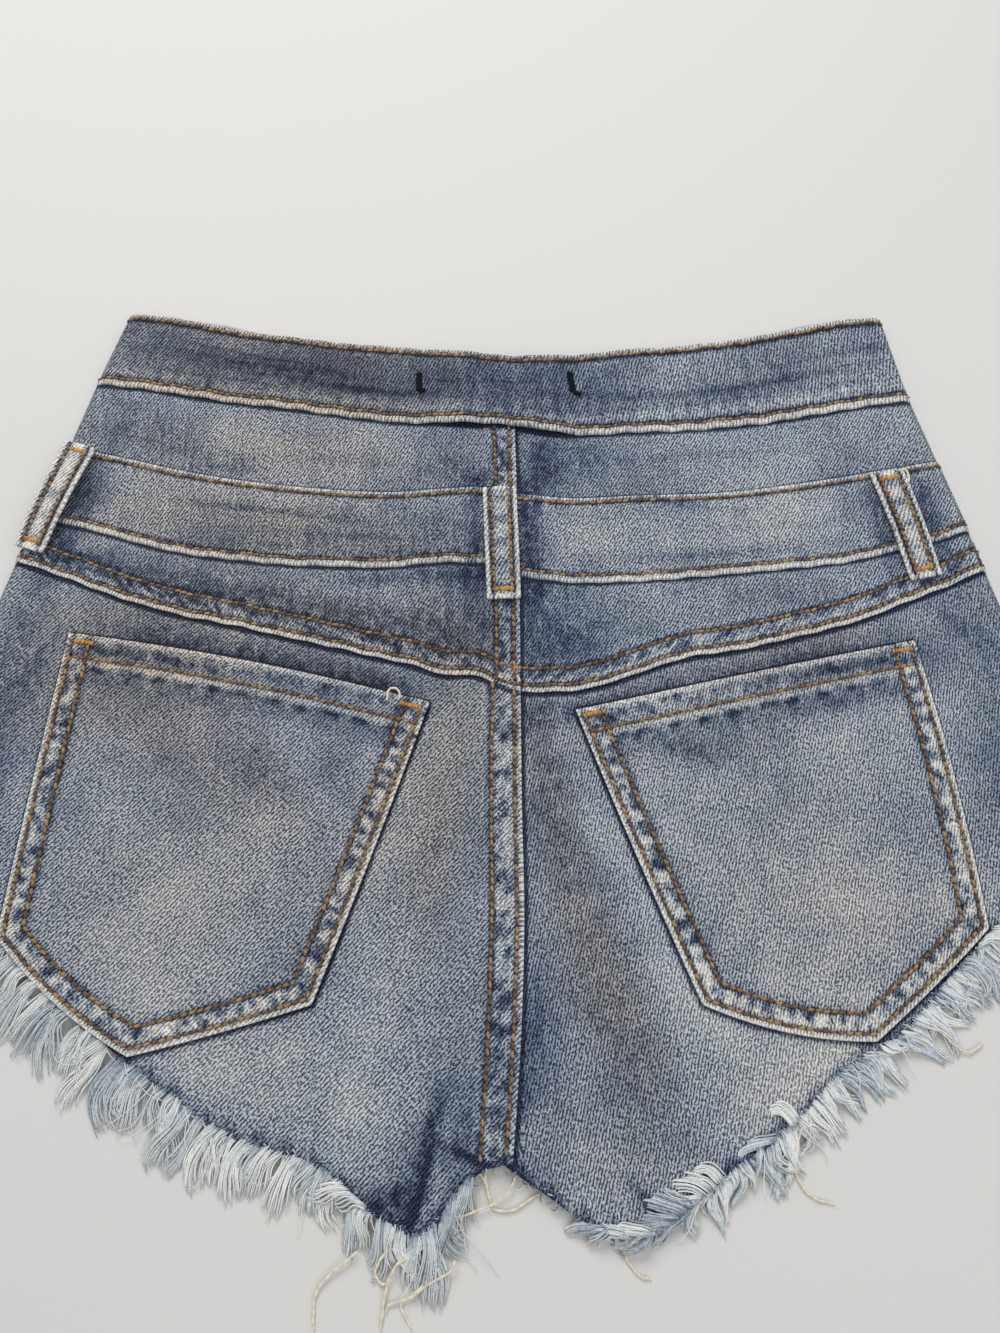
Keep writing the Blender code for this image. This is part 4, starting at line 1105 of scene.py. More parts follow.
def topOf(node, x, y):
    # height of a CAD node's upper face at a place in plan
    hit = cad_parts[node].ray_cast(Vector((x, y, 50)) * mm, Vector((0, 0, -1)))
    return hit[1].z / mm


def loopPlace(spec, share, offset):
    # a place in plan: a share of the way down a loop, offset sideways from its middle
    top, foot = np.array(spec["top"], float), np.array(spec["foot"], float)
    along = unit(foot - top)
    return mix(top, foot, share) + np.array([-along[1], along[0]]) * offset


def loopSheet(spec):
    shares = np.array([0.01, 0.12, 0.3, 0.55, 0.75, 0.9, 0.99])
    heights = [topOf(spec["node"], *loopPlace(spec, share, 0.0)) for share in shares]
    rows = np.linspace(0, 1, 52)[:, None]
    columns = np.linspace(-1, 1, 19)
    width = mix(*spec["widths"], rows)
    offset = columns * width / 2
    plan = loopPlace(spec, rows[..., None], offset[..., None])
    level = np.ones_like(offset)
    z = curveThrough(shares, heights, rows) * level
    drop = rows * np.linalg.norm(np.subtract(spec["foot"], spec["top"])) * level
    rise = drop[-1, 0] - drop
    edgeGap = width / 2 - abs(offset)
    seed = int(abs(spec["top"][0]) * 10)
    inside = past(edgeGap, 3.4, 1.5)
    middle = past(edgeGap, 3.6, 0.9)
    relief = stripes(edgeGap, ((0.25, 0.8, 0.7), (-0.45, 2.0, 0.55), (-0.2, loopCloth["row"], 0.5)))
    relief += 0.25 * inside + 0.12 * unevenWave(drop, 4.0, seed) * past(edgeGap, 2.5, 2)
    relief -= 0.3 * bell(np.minimum(drop, rise) - 2.6, 1.1)
    light = 0.8 * within(edgeGap, 1.35, 0.5) + spec["pale"] * middle * within(drop, spec["paleTo"], 8)
    light += 0.25 * unevenWave(drop, 5.0, seed + 1) * inside
    light += 0.9 * within(rise, 2.2, 0.8) + 0.4 * within(drop, 1.4, 0.8)
    # darker in the groove between the rope edge and the stitch row: less faded dye and painted shade
    dark = stripes(edgeGap, ((1.0, 2.1, 0.62), (0.3, loopCloth["row"], 0.6)))
    dark += 0.35 * smooth((-0.2 - unevenWave(drop, 5.0, seed + 3)) / 0.5) * middle
    base = np.dstack([plan, z])
    sign = float(np.sign(outwardNormals(base, 1)[26, 9, 2]))
    return finishSheet(base, sign, relief, np.stack([offset + seed, base[..., 1]], axis=-1), light, dark, 0.2)


for label, spec in loops.items():
    sewPiece(label, spec["node"], loopSheet(spec), loopCloth["ply"], denimFor["loop", left])
print("sewn belt loops")

front = {
    "seamGap": 0.7,
    "rise": 8.0,  # the front's cut edge lies this much higher than the back's, halfway out
    "halfWidth": 206.0,
    "outer": (18.0, 7.0),
    "inner": (-14.0, -3.0),
    "climb": (1.4, 3.0, 23.0),  # height of the inner ply, and where it climbs past the outer one's edge
    "flyFoot": (-20.0, -60.0),
    "fading": 9.0,  # rows of fading and painted shade narrower than this stay on the back
    "flat": (0.215, 0.3),
}


def flyX(edges, y):
    start, end = front["flyFoot"]
    return mix(*edges, smooth((start - y) / (start - end)))


def frontSheet(half):
    down = np.linspace(0, 1, 70)
    across = np.linspace(0, 1, 62)
    height, low, high = front["climb"]
    rows = []
    for v in down:
        centreY = mix(frontY("bandSeam", 0), lineY("hem", half, 0.0), v)
        foldY = mix(frontY("bandSeam", half * band["frontReach"]), lineY("hem", half, 0.93), v)
        near = flyX(front["outer"] if half == left else front["inner"], centreY)
        seam = sideX(half, foldY) - half * (layers["foldTop"] / 2 + layers["sideTurn"] + front["seamGap"])
        x = mix(near, seam, across)
        share = np.clip((x - seamX(centreY)) / (half * front["halfWidth"]), 0, 1)
        hem = lineY("hem", half, share) + front["rise"] * (1 - (2 * share - 1) ** 4)
        top = np.array([frontY("bandSeam", px) for px in x]) - front["seamGap"]
        edge = flyX(front["outer"], centreY)
        climb = height * within(x, edge + high, high - low) if half == right else np.zeros_like(x)
        rows.append(np.column_stack([x, mix(top, hem, v), climb]))
    base = np.array(rows)
    x, y = base[..., 0], base[..., 1]
    # the back's fading, painted shade and painted highlights, softened
    light, dark, brown = fadeAndShade(x + 11, y + 17, front["fading"])
    seamGap = abs(x - x[:, -1:])
    light = 0.7 * light + 0.45 * bell(seamGap - 0.8, 1.1) + 0.12 * bell(half * x - 95, 55) * bell(y + 30, 90)
    dark = 0.35 * dark + 0.4 * bell(seamGap - 3.2, 1.6) + within(y - y[-1:], 8, 8)
    coords = np.stack([x + 300, y], axis=-1)
    return finishSheet(base, -half, np.zeros_like(x), coords, light, dark, 0.4 * brown)


for half in (left, right):
    sewPiece("frontPanel" + sideName[half], "front_panel_" + sideName[half].lower(), frontSheet(half),
             layers["ply"], denimFor["panel", half], {"top": 0.3, "foot": 0.3, "near": 1.0, "far": 0.3})
print("sewn front")


def addTubes(name, paths, radii, shades, sides, material):
    # one mesh of many short tubes, all with as many rings
    paths, radii = np.array(paths, float), np.array(radii, float)
    shades = np.broadcast_to(np.asarray(shades, float), radii.shape)
    count, rings = radii.shape
    along = unit(np.gradient(paths, axis=1))
    up = np.array([0.03, 0.02, 1.0])
    sideways = unit(np.cross(along, up))
    over = np.cross(sideways, along)
    angles = np.arange(sides) * 2 * math.pi / sides
    rim = sideways[:, :, None] * np.cos(angles)[:, None] + over[:, :, None] * np.sin(angles)[:, None]
    places = paths[:, :, None] + rim * radii[:, :, None, None]
    index = np.arange(count * rings * sides).reshape(count, rings, sides)
    turned = np.roll(index, -1, axis=2)
    quads = np.stack([index[:, :-1], turned[:, :-1], turned[:, 1:], index[:, 1:]], axis=-1).reshape(-1, 4)
    caps = index[:, 0, ::-1].tolist() + index[:, -1].tolist()
    mesh = bpy.data.meshes.new(name)
    mesh.from_pydata((places.reshape(-1, 3) * mm).tolist(), [], quads.tolist() + caps)
    mesh.shade_smooth()
    made = bpy.data.objects.new(name, mesh)
    scene.collection.objects.link(made)
    paint(made, "yarn", np.repeat(shades.ravel(), sides))
    mesh.materials.append(material)
    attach(made, "root")
    return made


def clothLine(label, distance, origin):
    # a line on a sheet's outer face at a distance in from its top, foot or near edge
    points, normals = sheets[label]["points"], sheets[label]["normals"]
    if origin == "near":
        points, normals = points.transpose(1, 0, 2), normals.transpose(1, 0, 2)
    if origin == "foot":
        points, normals = points[::-1], normals[::-1]
    line, ups = [], []
    for c in range(points.shape[1]):
        run = lengthAlong(points[:, c])
        i = int(np.clip(np.searchsorted(run, distance) - 1, 0, len(run) - 2))
        t = (distance - run[i]) / max(run[i + 1] - run[i], 1e-6)
        line.append(mix(points[i, c], points[i + 1, c], t))
        ups.append(mix(normals[i, c], normals[i + 1, c], t))
    return np.array(line), unit(np.array(ups))


def dropLine(sheet, plan):
    # a line in plan laid on a sheet's outer face
    flat = sheet["points"].reshape(-1, 3)
    ups = sheet["normals"].reshape(-1, 3)
    line, normals = [], []
    for place in plan:
        gaps = ((flat[:, :2] - place) ** 2).sum(axis=1)
        near = np.argpartition(gaps, 4)[:4]
        weights = 1 / (gaps[near] + 0.02)
        weights /= weights.sum()
        line.append([place[0], place[1], float(flat[near, 2] @ weights)])
        normals.append(weights @ ups[near])
    return np.array(line), unit(np.array(normals))


# The ends of a stitch dip into the cloth and are painted darker there, as shade; underneath, it is pressed
# flat against the floor
thread = {
    "pitch": 2.8,
    "radius": 0.58,
    "floor": 0.3,
    "places": np.array([0.0, 0.2, 0.5, 0.8, 1.0]),
    "lift": np.array([-0.26, 0.12, 0.24, 0.12, -0.26]),
    "slant": np.array([-0.28, -0.14, 0.0, 0.14, 0.28]),
    "swell": np.array([0.55, 1.0, 1.05, 1.0, 0.55]),
    # each stitch darker towards its two ends: painted shade where it sinks into the cloth
    "shade": np.array([-0.5, 0.0, 0.15, 0.0, -0.5]),
}
sewing = {}


def sewRow(label, laid, seed, pitch=thread["pitch"]):
    # a row of stitches along a line laid on the cloth
    line, normals = laid
    dice = random.Random(seed)
    run = lengthAlong(line)
    store = sewing.setdefault(label, ([], [], []))
    for n in range(int(run[-1] / pitch)):
        start = (n + 0.06 + dice.uniform(-0.05, 0.05)) * pitch
        at = start + pitch * dice.uniform(0.93, 1.06) * thread["places"]
        centre = np.column_stack([np.interp(at, run, column) for column in line.T])
        up = unit(np.column_stack([np.interp(at, run, column) for column in normals.T]))
        slip = dice.uniform(-0.1, 0.1)
        sideways = unit(np.cross(up, np.gradient(centre, axis=0)))
        path = centre + up * thread["lift"][:, None] + sideways * (thread["slant"] + slip)[:, None]
        path[:, 2] = np.maximum(path[:, 2], thread["floor"])
        store[0].append(path)
        store[1].append(thread["radius"] * thread["swell"])
        store[2].append(dice.uniform(0.3, 0.85) + thread["shade"])


def barTack(label, sheet, start, end, width, step, seed, thick=1.0):
    # close stitches side by side across a short line in plan
    dice = random.Random(seed)
    start, end = np.array(start, float), np.array(end, float)
    along = unit(end - start)
    across = np.array([-along[1], along[0]])
    count = max(2, int(np.linalg.norm(end - start) / step))
    store = sewing.setdefault(label, ([], [], []))
    for n in range(count + 1):
        middle = mix(start, end, n / count) + across * dice.uniform(-0.15, 0.15)
        lean = along * dice.uniform(-0.2, 0.2)
        ends = np.array([middle + (across * width / 2 + lean) * t for t in (-1.0, -0.7, 0.0, 0.7, 1.0)])
        line, normals = dropLine(sheet, ends)
        lift = np.array([-0.1, 0.28, 0.42, 0.28, -0.1])[:, None]
        store[0].append(line + normals * lift)
        store[1].append(np.array([0.14, 0.24, 0.27, 0.24, 0.14]) * thick)
        store[2].append([dice.uniform(0.2, 0.85)] * 5)


for k, (origin, row) in enumerate(band["rows"].items()):
    sewRow("stitchingWaistband", clothLine("waistStrip", row, origin), 1 + k)
for half in (left, right):
    side = sideName[half]
    for k, (origin, (row,), _) in enumerate(backPieces["midBand"]["edges"]):
        sewRow("stitchingMidBand" + side, clothLine("midBand" + side, row, origin), 3 + k)
    for row in backPieces["lowerYoke"]["edges"][1][1]:
        sewRow("stitchingYoke" + side, clothLine("lowerYoke" + side, row, "foot"), 5 + int(row))
    pocket = sheets["pocket" + side]
    for row in (pocketRows["outer"], pocketRows["inner"]):
        t = np.linspace(1, 0, 40)
        plan = np.vstack([pocketEdge(half, edge, t, (1.2, row, row, row, row)) for edge in (4, 3, 2, 1)])
        sewRow("stitchingPocket" + side, dropLine(pocket, plan), 20 + int(row))
    plan = pocketEdge(half, 0, np.linspace(0, 1, 50), (pocketRows["hem"], 1.2, 0, 0, 1.2))
    sewRow("stitchingPocket" + side, dropLine(pocket, plan), 29)
    for t in ((0.012, 0.062), (0.988, 0.938)):
        ends = pocketEdge(half, 0, t, (2.6, 1.4, 0, 0, 1.4))
        barTack("barTacksPocket" + side, pocket, *ends, 1.7, 0.42, 61)
for key in ("upperYoke", "lowerYoke", "backPanel"):
    for row in backPieces[key]["edges"][0][1]:
        line, normals = clothLine(key + "Left", row, "near")
        sewRow("stitchingCentreBack", (line[1:-1], normals[1:-1]), 30 + int(row))
for label, spec in loops.items():
    name = label[0].upper() + label[1:]
    t = np.linspace(0.03, 0.97, 40)[:, None]
    inset = mix(*spec["widths"], t) / 2 - loopCloth["row"]
    for edge in (-1, 1):
        plan = loopPlace(spec, t, edge * inset)
        sewRow("stitching" + name, dropLine(sheets[label], plan), 40 + edge, 2.6)
    reachOut = spec["widths"][1] / 2 - loopCloth["tack"]
    for t in spec["tacks"]:
        ends = loopPlace(spec, t, -reachOut), loopPlace(spec, t, reachOut)
        barTack("barTacks" + name, sheets[label], *ends, 1.7, 0.45, 70)
t = np.linspace(0, 1, 60)
for inset in (0, 6.5):
    x = curveThrough((0, 0.62, 0.8, 0.92, 1), (-15, -15, -12 - 0.3 * inset, 0, 14 - inset), t) - inset
    flyRow = np.column_stack([x, mix(110, -46 - inset, t**0.9)])
    sewRow("stitchingFly", dropLine(sheets["frontPanelLeft"], flyRow), 50 + int(inset))

# Leftover tacks on the waistband: start, end, width, seed, thickness
leftoverTacks = (
    ((-35.4, 134), (-35.2, 125.6), 2.6, 81, 1.9),
    ((-34.6, 125.3), (-32.8, 125.6), 1.7, 84, 1.6),
    ((30.6, 134), (31.8, 125), 2.6, 82, 1.9),
    ((32.2, 124.4), (35.0, 123.4), 1.9, 83, 1.6),
)
frontColumns = band["columns"]["front"] + 16
bandBack = {key: value[:, frontColumns:-frontColumns] for key, value in sheets["waistStrip"].items()}
for start, end, width, seed, thick in leftoverTacks:
    barTack("tackMarks", bandBack, start, end, width, 0.45, seed, thick)
for label, (paths, radii, shades) in sewing.items():
    material = navyThread if label == "tackMarks" else tackMaterial if "Tacks" in label else threadMaterial
    piece = addTubes(label, paths, radii, shades, 5, material)
print("stitched", sum(len(store[0]) for store in sewing.values()), "stitches")


# Rows of locks: share of the way out, length, lean at the root and at the tip, from straight down to the side
frontLocks = ((0, 8, 4, 0), (0.5, 13, 26, 10), (1, 12, 60, 30))
fringes = {
    ("back", left): (
        (0.0, 12, 2, 6), (0.05, 20, 14, 10), (0.09, 28, 14, 6), (0.13, 27, 10, 4), (0.16, 24, 8, 0),
        (0.2, 21, 24, -4), (0.26, 20, 44, 8), (0.34, 20, 44, 12), (0.44, 22, 44, 6), (0.56, 24, 46, 8),
        (0.7, 26, 52, 12), (0.84, 27, 64, 16), (0.94, 22, 80, 26), (1.0, 15, 88, 50),
    ),
    ("back", right): (
        (0.0, 5, 0, 0), (0.13, 10, -62, -84), (0.2, 15, -74, -92), (0.27, 17, -58, -76),
        (0.32, 16, -6, -18), (0.38, 17, 30, 0), (0.46, 18, 50, 22), (0.56, 18, 60, 44),
        (0.66, 19, 68, 52), (0.76, 20, 62, 38), (0.84, 25, 48, 14), (0.93, 23, 66, 36), (1.0, 17, 84, 60),
    ),
    ("front", left): frontLocks,
    ("front", right): frontLocks,
}
fringe = {
    # locks, yarns in each, width at the root, share of the length, height above the cloth's edge
    "back": ((40, 19, 5.0, 1.0, -0.2), (13, 14, 4.2, 0.82, 0.9), (11, 10, 2.8, 0.62, 1.5)),
    "front": ((30, 14, 6.0, 1.0, 0.0),),
    "start": {left: 0.055, right: 0.13},
    "crowd": {left: 1.0, right: 1.3},
    "gather": {left: (0.6, 1.1), right: (0.2, 0.9)},
    "scatter": {left: 9, right: 15},
    "radius": 0.37,
    "rings": 11,
    "fuzz": {"back": 170, "front": 50},
    "strays": {"back": 60, "front": 20},
}


def growFringe(panel, half):
    dice = random.Random(17 + half + 5 * len(panel))
    # middle of the cut edge, from the crotch outwards and round the side fold
    sheet = sheets[panel.replace("back", "backPanel").replace("front", "frontPanel") + sideName[half]]
    roots = sheet["points"][-1] - sheet["normals"][-1] * layers["ply"] * 0.5
    roots = roots[:-7] if panel == "back" else roots[:-1]
    run = lengthAlong(roots)
    share, lengths, rootLeans, tipLeans = zip(*fringes[panel, half])
    t = np.linspace(0, 1, fringe["rings"])
    paths, radii, shades = [], [], []
    radius = fringe["radius"]

    def rootAt(place):
        return [np.interp(place, run, column) for column in roots.T]

    def yarn(root, angle, length, drift, height, arch, shade, thickness):
        # angle gives the lean all along; the yarn drifts to the middle of its lock and settles on the floor
        steps = np.concatenate([[0.0], np.diff(t)]) * length
        size, turns, beat = dice.uniform(0.05, 0.25), dice.uniform(0.5, 1.4), dice.random()
        wobble = size * np.sin(2 * math.pi * (t * turns + beat)) * t
        drift = wobble - drift * smooth(t * 1.1 - 0.1)
        x = root[0] + np.cumsum(np.sin(angle) * steps) * half + drift * np.cos(angle)
        y = root[1] - np.cumsum(np.cos(angle) * steps) + drift * np.sin(angle) * half
        ground = radius + 0.1 + max(0.0, height * 0.55)
        z = mix(root[2] + height, ground, smooth(t * 1.1)) + arch * np.sin(math.pi * t)
        paths.append(np.column_stack([x, y, np.maximum(z, thread["floor"])]))
        radii.append(thickness * np.interp(t, (0, 0.1, 0.75, 1.0), (0.9, 1.0, 0.85, 0.35)))
        shades.append(shade + np.interp(t, (0.0, 0.06, 0.22, 1.0), (-0.26, -0.1, 0.0, 0.04)))

    def lock(where, count, width, length, lean, tipLean, height, curl):
        arch = dice.uniform(0.2, 1.5)
        # locks on the right leg and those by the crotch, under the fold, are a little darker: painted shade
        tone = dice.uniform(0.46, 0.86) - (0.05 if half == right or where < 0.16 * run[-1] else 0.0)
        gather = dice.uniform(*fringe["gather"][half])
        sway, beat = dice.uniform(-0.5, 0.5), dice.random()
        for k in range(count):
            across = (k + dice.uniform(0.1, 0.9)) / count - 0.5
            root = rootAt(np.clip(where + across * width, 0.3, run[-1]))
            root[1] += dice.uniform(-0.2, 1.6)
            turn = mix(math.radians(lean), math.radians(tipLean), smooth(t * 1.15))
            turn = turn + sway * np.sin(2 * math.pi * (0.9 * t + beat)) * smooth(3 * t)
            turn = turn + dice.uniform(-0.035, 0.035)
            turn = turn + curl * np.clip(t - 0.5, 0, 1) ** 2 * dice.uniform(0.85, 1.15)
            rounded = 0.8 * math.sqrt(max(0.0, 1 - (2 * across) ** 2)) * dice.uniform(0.1, 1.0)
            reach = length * dice.uniform(0.86, 1.03) * (1 - 0.5 * abs(across) ** 1.5)
            shade, thickness = tone + dice.uniform(-0.17, 0.13), radius * dice.uniform(0.8, 1.2)
            yarn(root, turn, reach, across * width * gather, height + rounded, arch, shade, thickness)

    start = fringe["start"][half]
    for locks, count, width, long, height in fringe[panel]:
        locks = int(locks * fringe["crowd"][half])
        scatter = fringe["scatter"][half] * (1 if height < 0.5 else 1.7)
        for n in range(locks):
            at = mix(start, 0.99, (n + dice.uniform(0.3, 0.7)) / locks)
            curl = dice.choice((0, 0, 0, dice.uniform(-6, 6))) if height < 1 else dice.uniform(-10, 10)
            wide = width * dice.uniform(0.75, 1.1)
            length = curveThrough(share, lengths, at) * long * dice.uniform(0.72, 1.14)
            lean = curveThrough(share, rootLeans, at) + dice.gauss(0, scatter)
            tipLean = curveThrough(share, tipLeans, at) + dice.gauss(0, 1.5 * scatter)
            lock(at * run[-1], count, wide, length, lean, tipLean, height, curl)
    for n in range(fringe["strays"][panel] + fringe["fuzz"][panel]):
        fuzz = n >= fringe["strays"][panel]
        at = mix(0.01 if fuzz else start, 0.99, dice.random())
        root = rootAt(run[-1] * at)
        turn = math.radians(curveThrough(share, tipLeans, at)) + dice.uniform(-0.8, 0.8) * (2 if fuzz else 1)
        turn = turn + dice.uniform(-1.6, 1.6) * t + dice.uniform(-7, 7) * np.clip(t - 0.45, 0, 1) ** 2
        if fuzz:
            root[1] += dice.uniform(-0.5, 3.2)
            yarn(root, turn, dice.uniform(2.0, 5.5), 0.0, dice.uniform(0.5, 1.4), dice.uniform(0, 0.8),
                 dice.uniform(0.05, 0.6), radius * 0.7)
        else:
            yarn(root, turn, curveThrough(share, lengths, at) * dice.uniform(0.4, 1.15), 0.0,
                 dice.uniform(0.2, 1.6), dice.uniform(0, 1.5), dice.uniform(0.7, 1.0), radius * 0.6)
    for at, *spec in extraLocks.get((panel, half), ()):
        lock(at * run[-1], *spec)
    piece = addTubes("fringe" + panel.capitalize() + sideName[half], paths, radii, shades, 3, fringeMaterial)
    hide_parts(f"fringe_{panel}_{sideName[half].lower()}")


extraLocks = {
    # share, yarns, width, length, lean at the root and the tip, height, curl of the tip
    ("back", left): (
        (0.93, 26, 6, 18, 110, 30, 3.6, -16), (0.97, 22, 5, 17, 130, 70, 3.4, -14),
        (0.9, 20, 5, 20, 84, 14, 2.6, -6), (0.27, 20, 5, 17, 100, 40, 1.4, 12),
        (0.24, 18, 4, 14, 120, 50, 1.8, 10), (0.07, 20, 5, 24, 16, 2, 1.2, 0),
        (0.1, 20, 5, 28, 4, 8, 1.4, 2), (0.14, 18, 5, 25, -12, 6, 1.2, 0),
    ),
    ("back", right): (
        (0.29, 24, 6, 26, -80, -108, 1.2, 2), (0.25, 22, 6, 24, -100, -80, 1.9, -6),
        (0.21, 18, 5, 18, -116, -84, 2.2, 12), (0.31, 22, 6, 25, -128, -84, 1.6, 6),
        (0.27, 22, 6, 23, -134, -70, 2.0, 8), (0.23, 20, 5, 18, -70, -40, 1.6, -8),
        (0.3, 20, 5, 16, -40, -20, 0.6, 6), (0.26, 18, 5, 13, -36, -64, 0.6, 0),
        (0.18, 16, 4, 15, -124, -70, 1.8, -8), (0.33, 20, 5, 17, -130, -86, 2.0, 10),
        (0.42, 22, 6, 20, -86, -10, 1.8, 0), (0.46, 16, 4, 14, -150, -80, 2.2, 8),
        (0.86, 24, 6, 24, 96, 30, 2.2, 4), (0.8, 20, 5, 17, 84, 50, 2.0, -10),
        (0.84, 18, 5, 15, 130, 60, 2.4, -7),
    ),
}
for panel in ("back", "front"):
    for half in (left, right):
        growFringe(panel, half)
print("frayed the leg openings")

looseThreads = {
    # x, y, z along each long end of sewing thread
    "radius": 0.46,
    "paths": (
        ((-47, -205.6, 2.5), (-52.6, -209.9, 1.6), (-58, -214.4, 1), (-60.8, -219.1, 0.6),
         (-60.9, -224.3, 0.5),
         (-60.7, -228.7, 0.5)),
        ((-34.6, -200.5, 3.4), (-36.4, -204, 3.2), (-39.9, -208.5, 2.6), (-41.1, -212.1, 1.6),
         (-39.3, -215, 1),
         (-36.9, -215.2, 0.8)),
        ((-24.9, -203.6, 4.4), (-29.5, -206.4, 4.2), (-34.5, -210, 3), (-37, -215.4, 1.6),
         (-38.2, -221.9, 0.8),
         (-38.9, -228.8, 0.5)),
        ((-8.8, -183.6, 3.6), (-15.4, -189.1, 4.6), (-18.8, -194.8, 4.8), (-19.4, -201.6, 4),
         (-21.6, -209.2, 3),
         (-25.3, -215.3, 2), (-30.8, -219.5, 1.2), (-36.3, -221.2, 0.8), (-37.4, -223.7, 0.6)),
        ((-14.7, -208.1, 3), (-17, -211.9, 2.6), (-22.5, -214.4, 2.4), (-27.8, -218.2, 1.8),
         (-31.5, -220, 1.2),
         (-32.4, -221.9, 0.8), (-28.8, -228.3, 0.5)),
        ((4.8, -181.4, 2.6), (4.2, -186.1, 2.2), (-1.2, -191, 1.6), (-9.2, -194, 2.6),
         (-17.6, -195.7, 4.8)),
        ((-4.8, -179.9, 2.6), (-4.8, -184.3, 1.8), (-3.9, -188.9, 1), (-1.9, -193.5, 0.6), (5, -193.5, 0.5),
         (9.3, -190.9, 0.5), (13.7, -188.6, 0.5)),
        ((-7.9, -181.4, 3), (-5.4, -184.4, 2), (-2.7, -192, 0.6)),
        ((104, -166, 4), (100, -178, 2), (102, -186, 1), (106, -190, 0.6), (113, -192, 0.5)),
        ((41, -203, 2), (42, -208, 1), (46, -213, 0.5), (50, -214, 0.5)),
        ((156, -138, 3), (162, -143, 1.4), (166, -144, 0.8), (171, -141, 0.5)),
        ((-44, -16, 6.4), (-43.5, -12.5, 7.4), (-41, -11.4, 7.6), (-39, -13.4, 7.0), (-39.5, -16, 6.4)),
        ((168.2, 85.4, 6.0), (170.8, 85.9, 6.4), (171.8, 84.5, 6.2), (172.1, 81.9, 6.0), (171.7, 80.2, 6.0),
         (169.6, 78.6, 6.0)),
    ),
}


def addLooseThreads():
    t = np.linspace(0, 1, 40)
    dice = random.Random(5)
    paths, radii, shades = [], [], []
    for places in looseThreads["paths"]:
        path = curvePath(places, t)
        beats = dice.random() * 6, dice.random() * 6
        path[:, :2] += 0.1 * np.column_stack([np.sin(31 * t + beats[0]), np.cos(27 * t + beats[1])])
        paths.append(path)
        thinning = np.interp(t, (0, 0.9, 1), (1, 1, 0.6))
        radii.append(looseThreads["radius"] * dice.uniform(0.8, 1.1) * thinning)
        shades.append(0.55 + 0.25 * np.sin(60 * t))
    piece = addTubes("looseThreads", paths, radii, shades, 6, creamYarn)


addLooseThreads()

# Radius and height above the floor, from the face's middle out over the rim to the back
buttonProfile = (
    (0.0, 0.5), (2.2, 0.46), (2.8, 0.3), (4.6, 0.32), (5.3, 0.5), (5.7, 0.12), (6.3, 0.0), (7.0, 0.08),
    (7.45, 0.45), (7.4, 0.9), (6.9, 1.15), (3.0, 1.3), (0.0, 1.35),
)


def addButton():
    steps = 64
    angles = np.arange(steps) * 2 * math.pi / steps
    middleX, middleY = band["button"]
    places, faces = [], []
    for radius, height in buttonProfile[1:-1]:
        for angle in angles:
            places.append((middleX + radius * math.cos(angle), middleY + radius * math.sin(angle), height))
    lastRow = len(buttonProfile) - 3
    for row in range(lastRow):
        for k in range(steps):
            a, b = row * steps + k, row * steps + (k + 1) % steps
            faces.append((a, b, b + steps, a + steps))
    for end, row in ((0, 0), (-1, lastRow)):
        places.append((middleX, middleY, buttonProfile[end][1]))
        for k in range(steps):
            faces.append((len(places) - 1, row * steps + k, row * steps + (k + 1) % steps))
    piece = meshFrom("waistButton", np.array(places), faces)
    made, tree, shader = newMaterial("agedBrass", specular=0.5)
    tarnish = noise(tree, addNode(tree, "ShaderNodeTexCoord").outputs["Object"], 420.0, 4.0, 0.6)
    brass = ((0.3, linear(92, 74, 48)), (0.5, linear(150, 124, 84)), (0.75, linear(184, 158, 112)))
    feed(tree, shader.inputs["Base Color"], ramp(tree, tarnish, brass))
    feed(tree, shader.inputs["Roughness"], calc(tree, "MULTIPLY_ADD", tarnish, 0.3, 0.28))
    shader.inputs["Metallic"].default_value = 1.0
    piece.data.materials.append(made)
    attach(piece, "root")
    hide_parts("waist_button")


addButton()
print("tied off the threads, set the button")


def declareCloth(label, flat):
    # the flat size of the piece as it shows, with the area of its outer face
    points = sheets[label]["points"]
    quads = np.cross(points[1:, 1:] - points[:-1, :-1], points[1:, :-1] - points[:-1, 1:])
    area = float(np.linalg.norm(quads, axis=-1).sum() / 2) * mm * mm
    print("cut", label, round(area, 5), "of", round(flat[0] * flat[1], 5))
    area = min(area, flat[0] * flat[1])


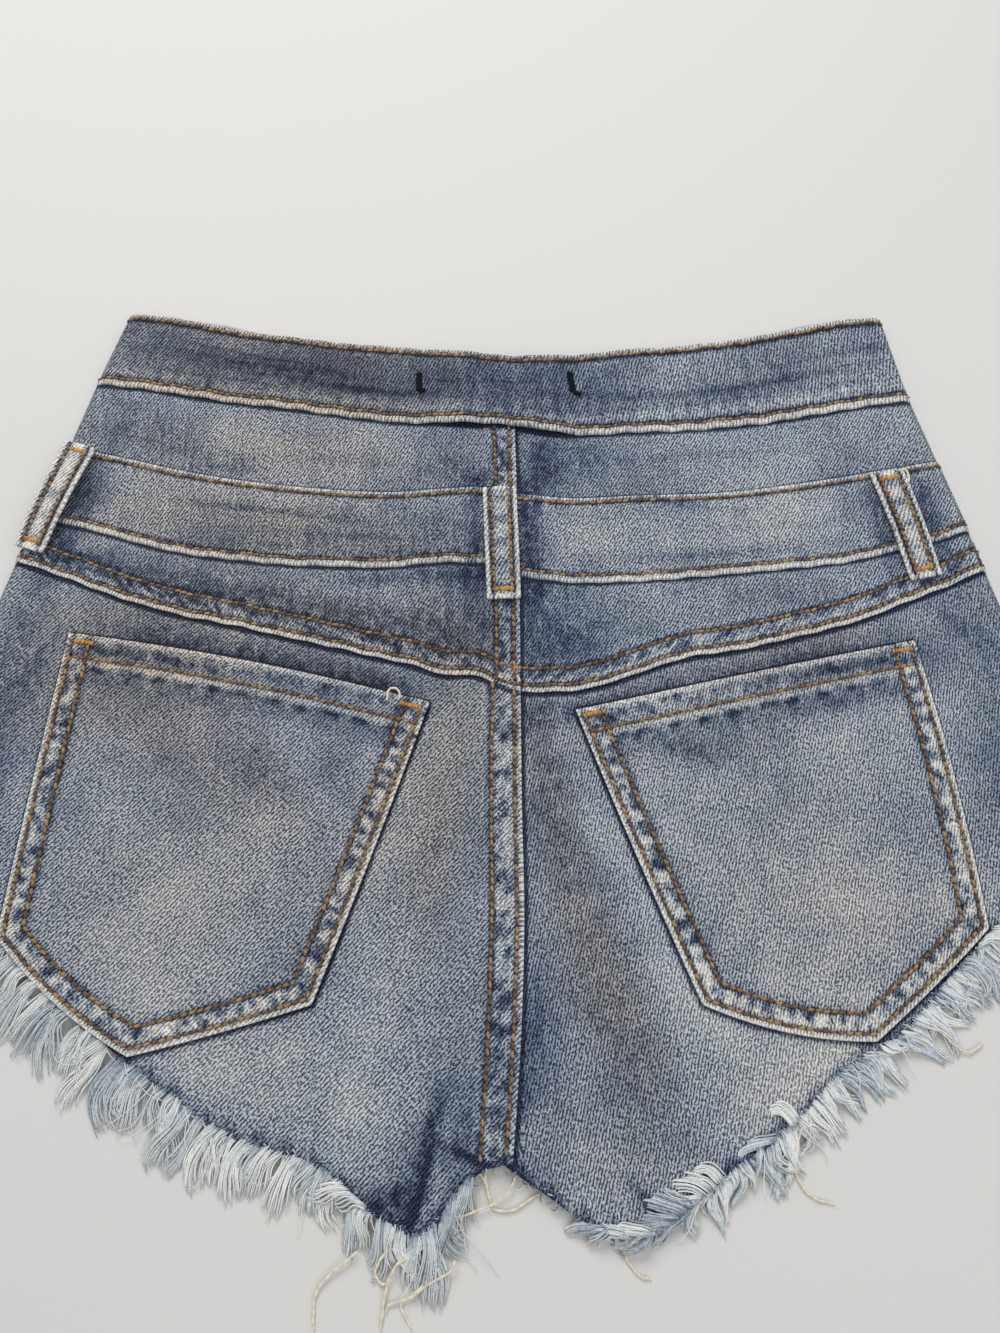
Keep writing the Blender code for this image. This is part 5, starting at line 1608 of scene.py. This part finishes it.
declareCloth("waistStrip", band["flat"])
for half in (left, right):
    side = sideName[half]
    frontPanel, backPanel = "frontPanel" + side, "backPanel" + side
    onBack = ["stitchingCentreBack", "looseThreads"] if half == left else []
    declareCloth(frontPanel, front["flat"])
    for key, under, going in (
        ("upperYoke", [frontPanel], []),
        ("midBand", [frontPanel], ["stitchingMidBand" + side]),
        ("lowerYoke", [frontPanel, backPanel], ["stitchingYoke" + side]),
        ("backPanel", [frontPanel], ["fringeBack" + side] + onBack),
    ):
        declareCloth(key + side, backPieces[key]["flat"])
    going = ["stitchingPocket" + side, "barTacksPocket" + side]
    declareCloth("pocket" + side, pockets[half]["flat"])
for label, spec in loops.items():
    name = label[0].upper() + label[1:]
    declareCloth(label, loopCloth["flat"])

view = {"tilt": math.radians(19), "reach": 0.4, "lens": 27, "sensor": 36}
camera = bpy.data.objects.new("camera", bpy.data.cameras.new("camera"))
scene.collection.objects.link(camera)
camera.location = (0, -view["reach"] * math.sin(view["tilt"]), view["reach"] * math.cos(view["tilt"]))
camera.rotation_euler = (view["tilt"], 0, 0)
camera.data.lens = view["lens"]
camera.data.sensor_width = view["sensor"]
scene.camera = camera

# The floor lies a hair below the cloth, clear of the stitches pressed against it
floorPlace = {"reach": 3, "z": -0.0004}
corners = [(x * floorPlace["reach"], y * floorPlace["reach"], floorPlace["z"])
           for x, y in ((-1, -1), (1, -1), (1, 1), (-1, 1))]
floorMesh = bpy.data.meshes.new("floor")
floorMesh.from_pydata(corners, [], [(0, 1, 2, 3)])
floor = bpy.data.objects.new("floor", floorMesh)
scene.collection.objects.link(floor)
floorMaterial, _, floorShader = newMaterial("paleFloor", specular=0.5)
floorShader.inputs["Base Color"].default_value = linear(214, 212, 208)
floorShader.inputs["Roughness"].default_value = 0.9
floorMesh.materials.append(floorMaterial)


def addLight(name, place, aim, size, power):
    lamp = bpy.data.lights.new(name, "AREA")
    lamp.shape = "SQUARE"
    lamp.size = size
    lamp.energy = power
    made = bpy.data.objects.new(name, lamp)
    scene.collection.objects.link(made)
    made.location = place
    made.rotation_euler = (Vector(aim) - Vector(place)).to_track_quat("-Z", "Y").to_euler()


addLight("keyLight", (-0.25, 0.85, 1.0), (0, 0, 0), 0.7, 11.0)
addLight("fillLight", (0.5, -0.6, 1.1), (0, 0, 0), 1.2, 5.0)
world = bpy.data.worlds.new("studio")
world.use_nodes = True
world.node_tree.nodes["Background"].inputs[0].default_value = (0.95, 0.97, 1.0, 1.0)
world.node_tree.nodes["Background"].inputs[1].default_value = 0.45
scene.world = world
scene.view_settings.view_transform = "Standard"
